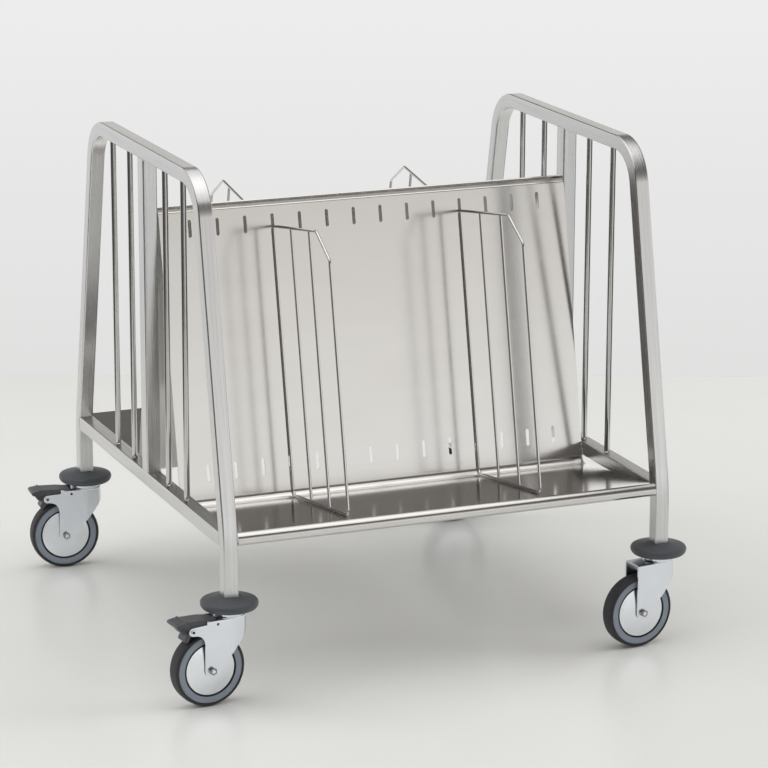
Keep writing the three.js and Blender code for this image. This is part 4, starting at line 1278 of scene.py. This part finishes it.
# %% Fit the axle bolts
BOLT_R = 4 * MM
NUT_R = 6.4 * MM
NUT_HEIGHT = 4.4 * MM
WASHER_R = 6.5 * MM
WASHER = 1.2 * MM
BOLT_END = 5.6 * MM  # of the bolt's end outside the cheek
BOLT_CHAMFER = 0.8 * MM
BOLT_STEPS = 24
WASHER_STEPS = 28
HEXAGON = 6


def axle_parts():
    inner = FORK_HALF_WIDTH + FIT_GAP
    end = inner + BOLT_END
    half = [(BOLT_R, end - BOLT_CHAMFER), (BOLT_R - BOLT_CHAMFER, end), (0, end)]
    shaft = [*[(r, -y) for r, y in reversed(half)], *half]
    parts = [turned("shaft", shaft, BOLT_STEPS, ZINC, "Y")]
    nut_low, nut_high = inner + WASHER, inner + WASHER + NUT_HEIGHT
    washer = [(BOLT_R, inner), (WASHER_R, inner), (WASHER_R, nut_low), (BOLT_R, nut_low), (BOLT_R, inner)]
    nut = [(BOLT_R, nut_low), (NUT_R, nut_low), (NUT_R, nut_high - NUT_R * 0.1),
           (NUT_R * 0.88, nut_high), (BOLT_R, nut_high), (BOLT_R, nut_low)]
    # The nuts' steel is darkened all over: painted shade.
    for side in (-1, 1):
        for outline, steps, made_of in ((washer, WASHER_STEPS, ZINC), (nut, HEXAGON, SHADE_DARKENED_STEEL)):
            parts.append(turned("fastener", [(r, side * y) for r, y in outline], steps, made_of, "Y"))
    return joined(parts)


mesh = axle_parts()
mesh.transform(Matrix.Translation((axle_x, 0, axle_z)))
fit_castors("axle_bolt", "axle", mesh, "swivel", "zinc_plate")

# %% [markdown]
# ## Wheels
# A wheel is a blue-grey plastic rim with a hub, a dark rubber tyre moulded around it, and a domed zinc
# guard on either side that keeps threads out of the bearing. All are turned across the wheel. The dark
# ring in the photograph is the groove between the guard and the rim, so it is left open as a groove,
# and the rim is painted black inside it as painted shade.

# %% Turn the rims, tyres and guards
WHEEL_HALF = 14 * MM
TYRE_THICKNESS = 5.2 * MM
TYRE_SHOULDER_R = 4.5 * MM
TYRE_CROWN = 0.6 * MM
RIM_HALF = 13 * MM
RIM_RECESS = 3 * MM
HUB_R = 10 * MM
GUARD_R = 43.5 * MM
GUARD_SHEET = 1.5 * MM
GUARD_DOME = 3.8 * MM
GUARD_GROOVE = 2.2 * MM
RIM_EDGE = 0.8 * MM
GUARD_EDGE_INSET = 0.7 * MM
GUARD_DOME_POWER = 1.6
GUARD_STEPS = 10
WHEEL_STEPS = 96


def both_sides(half):
    """A half outline, from the middle outwards, mirrored into a closed one."""
    return [*half, *[(r, -y) for r, y in reversed(half)], half[0]]


rim_r = WHEEL_R - TYRE_THICKNESS - FIT_GAP
recess_r = GUARD_R + GUARD_GROOVE
hub_y = FORK_HALF_WIDTH - FORK_WALL - RUN_GAP
floor_y = RIM_HALF - RIM_RECESS
rim_outline = both_sides([
    (rim_r, 0), (rim_r, RIM_HALF - RIM_EDGE), (rim_r - RIM_EDGE, RIM_HALF),
    (recess_r + RIM_EDGE, RIM_HALF), (recess_r, RIM_HALF - RIM_EDGE),
    (recess_r, floor_y + RIM_EDGE), (recess_r - RIM_EDGE, floor_y),
    (HUB_R + 2 * RIM_EDGE, floor_y), (HUB_R, floor_y + 2 * RIM_EDGE),
    (HUB_R, hub_y), (BOLT_R + RUN_GAP, hub_y),
])
tyre_r = WHEEL_R - TYRE_CROWN - TYRE_SHOULDER_R
shoulder = arc(tyre_r, WHEEL_HALF - TYRE_SHOULDER_R, TYRE_SHOULDER_R, 0, 90, 8)
crown = [(WHEEL_R, 0), (WHEEL_R - TYRE_CROWN * 0.1, WHEEL_HALF * 0.25),
         (WHEEL_R - TYRE_CROWN * 0.45, WHEEL_HALF * 0.5)]
lip_r = rim_r + FIT_GAP
lip = [(lip_r + RIM_EDGE, WHEEL_HALF), (lip_r, WHEEL_HALF - RIM_EDGE)]
tyre_outline = both_sides([*crown, *shoulder, *lip])
axle_centre = Matrix.Translation((axle_x, 0, axle_z))

mesh = turned("rim", rim_outline, WHEEL_STEPS, RIM_PLASTIC, "Y")
mesh.transform(axle_centre)
fit_castors("wheel_rim", "rim", mesh, "wheel", "rim_plastic")
mesh = turned("tyre", tyre_outline, WHEEL_STEPS, TYRE_RUBBER, "Y")
mesh.transform(axle_centre)
fit_castors("rubber_tyre", "tyre", mesh, "wheel", "tyre_rubber")

guard_edge = floor_y + FIT_GAP
guard_edge_r = GUARD_R - GUARD_EDGE_INSET
guard_hole_r = HUB_R + FIT_GAP


def guard_line(offset):
    """One face of the guard: a flat rim that rises into a shallow dome around the hub."""
    points = []
    for step in range(GUARD_STEPS + 1):
        share = step / GUARD_STEPS
        radius = guard_edge_r + (guard_hole_r - guard_edge_r) * share
        rise = GUARD_DOME * (1 - (1 - share) ** GUARD_DOME_POWER)
        points.append((radius, guard_edge + rise + offset))
    return points


for which, side in (("outer", -1), ("inner", 1)):
    outline = [*reversed(guard_line(0)), *guard_line(GUARD_SHEET)]
    outline = [(r, side * y) for r, y in [*outline, outline[0]]]
    mesh = turned("guard", outline, WHEEL_STEPS, TURNED_ZINC, "Y")
    mesh.transform(axle_centre)
    fit_castors(f"thread_guard_{which}", f"guard_{which}", mesh, "wheel", "zinc_plate")

# %% [markdown]
# ## Foot brakes
# The two left-hand castors have a black pedal: a flat pad behind the wheel with a ridge across its
# inner end, a body between the fork's cheeks, and a shoe that swings down onto the tyre. It is built
# from a few outlines added to each other with rounded edges. Ribs too fine to model give the foot its
# grip, so the plastic's material draws them, on the pad only.

# %% Mould the pedals and fit their pins
BRAKE_TRAVEL = math.radians(10)
PIN_HEAD_R = 4 * MM
PIN_HEAD_HEIGHT = 1.5 * MM
PIN_HEAD_EDGE = 0.8 * MM
PIN_HEAD_STEPS = 4
PIN_BORE_R = 2.1 * MM
PIN_BORE_DEPTH = 5 * MM
PIN_STEPS = 28
SHOE_R = 4 * MM
SHOE_OFFSET = 12 * MM
SHOE_HALF_WIDTH = 12 * MM
PEDAL_LENGTH = 29 * MM
PEDAL_RISE = 17.5 * MM
PEDAL_HALF_WIDTH = 19 * MM
PEDAL_BODY_LENGTH = 43 * MM
PEDAL_BOSS_R = 6 * MM
PAD_START = 10.5 * MM
MOULD_EDGE = 0.6 * MM
MOULD_EDGE_STEPS = 3
# Corners from the pin: shares of the pedal's or the body's length, and of the pad's rise
PAD_SHARES = [(-0.9, 0.46), (-1, 0.66), (-0.93, 0.85)]
BODY_SHARES = [(0.5, 0.95), (1, 0.78), (1, 0.45), (0.27, -0.22), (0, -0.27)]
RIDGE = 2.6 * MM
RIDGE_SHARES = [(-1, -0.5), (-0.8, 0.5), (-0.2, 0.5), (0, -0.5)]
RIB_PITCH = 2 * MM
WEB_SHARES = [(-0.86, 0.55), (-0.55, -0.15), (-0.3, -0.3), (0, -0.2), (0, 0.6)]


def shoe_from_pin():
    """Where the middle of the shoe is at rest, from the pin."""
    to_axle = math.hypot(PIN_BACK, PIN_RISE)
    shoe_to_axle = WHEEL_R + RUN_GAP + SHOE_R
    along = to_axle - math.sqrt(shoe_to_axle ** 2 - SHOE_OFFSET ** 2)
    line = Vector((PIN_BACK, -PIN_RISE)).normalized()
    pressed = line * along + Vector((line.y, -line.x)) * SHOE_OFFSET
    return Matrix.Rotation(-BRAKE_TRAVEL, 2) @ pressed


def slot_outline(start, end, radius):
    """A straight bar with round ends, from one point to another."""
    angle = math.degrees(math.atan2(end[1] - start[1], end[0] - start[0]))
    return arc(*end, radius, angle - 90, angle + 90, 8) + arc(*start, radius, angle + 90, angle + 270, 8)


def from_pin(x, z):
    return pin_x + x, pin_z + z


def riveted_pin_steel():
    """Zinc, painted black inside the bore as painted shade."""
    material, tree, shader, place = finish("riveted_pin_steel", 0.25, 1)
    # Painted shade: black inside the bore.
    unshaded = tree.add("ShaderNodeMapRange", {0: tree.from_axis(), 1: PIN_BORE_R, 2: PIN_BORE_R + FIT_GAP})
    cloud = tree.noise(place, 300.0)
    feed(tree, shader, "Base Color", tree.mixed(unshaded, (0.02, 0.02, 0.022, 1), (0.80, 0.83, 0.87, 1)))
    feed(tree, shader, "Roughness", 0.2 + cloud * 0.2)
    bumped(tree, shader, cloud, 0.00002, 0.5)
    return material


def ribbed_plastic():
    """Black plastic, dulled by shoes, with fine ribs across the pad only."""
    material, tree, shader, place = finish("ribbed_plastic", 0.42, 0)
    along = tree.add("ShaderNodeSeparateXYZ", {0: tree.grain()}, output=0)
    pad_end = pin_x - PAD_START - RIDGE
    on_pad = tree.add("ShaderNodeMapRange", {0: along, 1: pad_end - RIDGE / 4, 2: pad_end, 3: 1.0, 4: 0.0})
    ribs = tree.add("ShaderNodeMath", {0: along * (2 * math.pi / RIB_PITCH)}, operation="SINE")
    worn = tree.noise(place, 60.0, 4.0)
    pores = tree.noise(place, 1100, 2.0)
    feed(tree, shader, "Base Color", tree.mixed(worn, (0.052, 0.055, 0.060, 1), (0.105, 0.110, 0.120, 1)))
    feed(tree, shader, "Roughness", 0.36 + worn * 0.16)
    bumped(tree, shader, pores * 0.3 + ribs * on_pad, 0.0002, 0.7)
    return material


PIN_STEEL = riveted_pin_steel()
PEDAL_PLASTIC = ribbed_plastic()


def moulded_pedal():
    shoe = shoe_from_pin()
    pad = [from_pin(PEDAL_LENGTH * x, PEDAL_RISE * z) for x, z in PAD_SHARES]
    pad += [from_pin(-PAD_START, PEDAL_RISE), from_pin(-PAD_START, PEDAL_RISE / 2)]
    body = [from_pin(-PAD_START - OVERRUN, PEDAL_RISE / 2), from_pin(-PAD_START, PEDAL_RISE)]
    body += [from_pin(PEDAL_BODY_LENGTH * x, PEDAL_RISE * z) for x, z in BODY_SHARES]
    half = FORK_HALF_WIDTH - FORK_WALL - RUN_GAP
    arm = slot_outline(from_pin(0, 0), from_pin(*shoe), SHOE_R)
    web = [from_pin(PEDAL_LENGTH * x, PEDAL_RISE * z) for x, z in WEB_SHARES]
    ridge = [from_pin(-PAD_START + RIDGE * x, PEDAL_RISE + RIDGE * z) for x, z in RIDGE_SHARES]
    boss = full_round(pin_x, pin_z, PEDAL_BOSS_R)
    steps = [
        ("UNION", prism("ridge", ridge, PEDAL_HALF_WIDTH - FIT_GAP, PEDAL_PLASTIC)),
        ("UNION", prism("web", web, SHOE_HALF_WIDTH - FIT_GAP, PEDAL_PLASTIC)),
        ("UNION", prism("body", body, half, PEDAL_PLASTIC)),
        ("UNION", prism("boss", boss, half - FIT_GAP / 2, PEDAL_PLASTIC)),
        ("UNION", prism("arm", arm, SHOE_HALF_WIDTH, PEDAL_PLASTIC)),
        ("DIFFERENCE", bore(pin_x, pin_z, PIN_R + RUN_GAP)),
    ]
    mesh = carved(prism("pad", pad, PEDAL_HALF_WIDTH, PEDAL_PLASTIC), steps, MOULD_EDGE, MOULD_EDGE_STEPS)
    note_grain(mesh, "Z")
    return mesh


fit_castors("foot_pedal", "brake_pedal", moulded_pedal(), "pedal", "pedal_plastic", BRAKED)

inner = FORK_HALF_WIDTH + FIT_GAP
outer = inner + PIN_HEAD_HEIGHT
bore_end = outer - PIN_BORE_DEPTH
head = arc(PIN_HEAD_R - PIN_HEAD_EDGE, outer - PIN_HEAD_EDGE, PIN_HEAD_EDGE, 0, 90, PIN_HEAD_STEPS)
pin_half = [(PIN_R, 0), (PIN_R, inner), (PIN_HEAD_R, inner), *head,
            (PIN_BORE_R, outer), (PIN_BORE_R, bore_end)]
other_half = [(r, -y) for r, y in reversed(pin_half)]
pin_outline = [(0, -bore_end), *other_half, *pin_half[1:], (0, bore_end)]
mesh = turned("pin", pin_outline, PIN_STEPS, PIN_STEEL, "Y")
mesh.transform(Matrix.Translation((pin_x, 0, pin_z)))
fit_castors("pedal_pin", "brake_pin", mesh, "swivel", "zinc_plate", BRAKED)
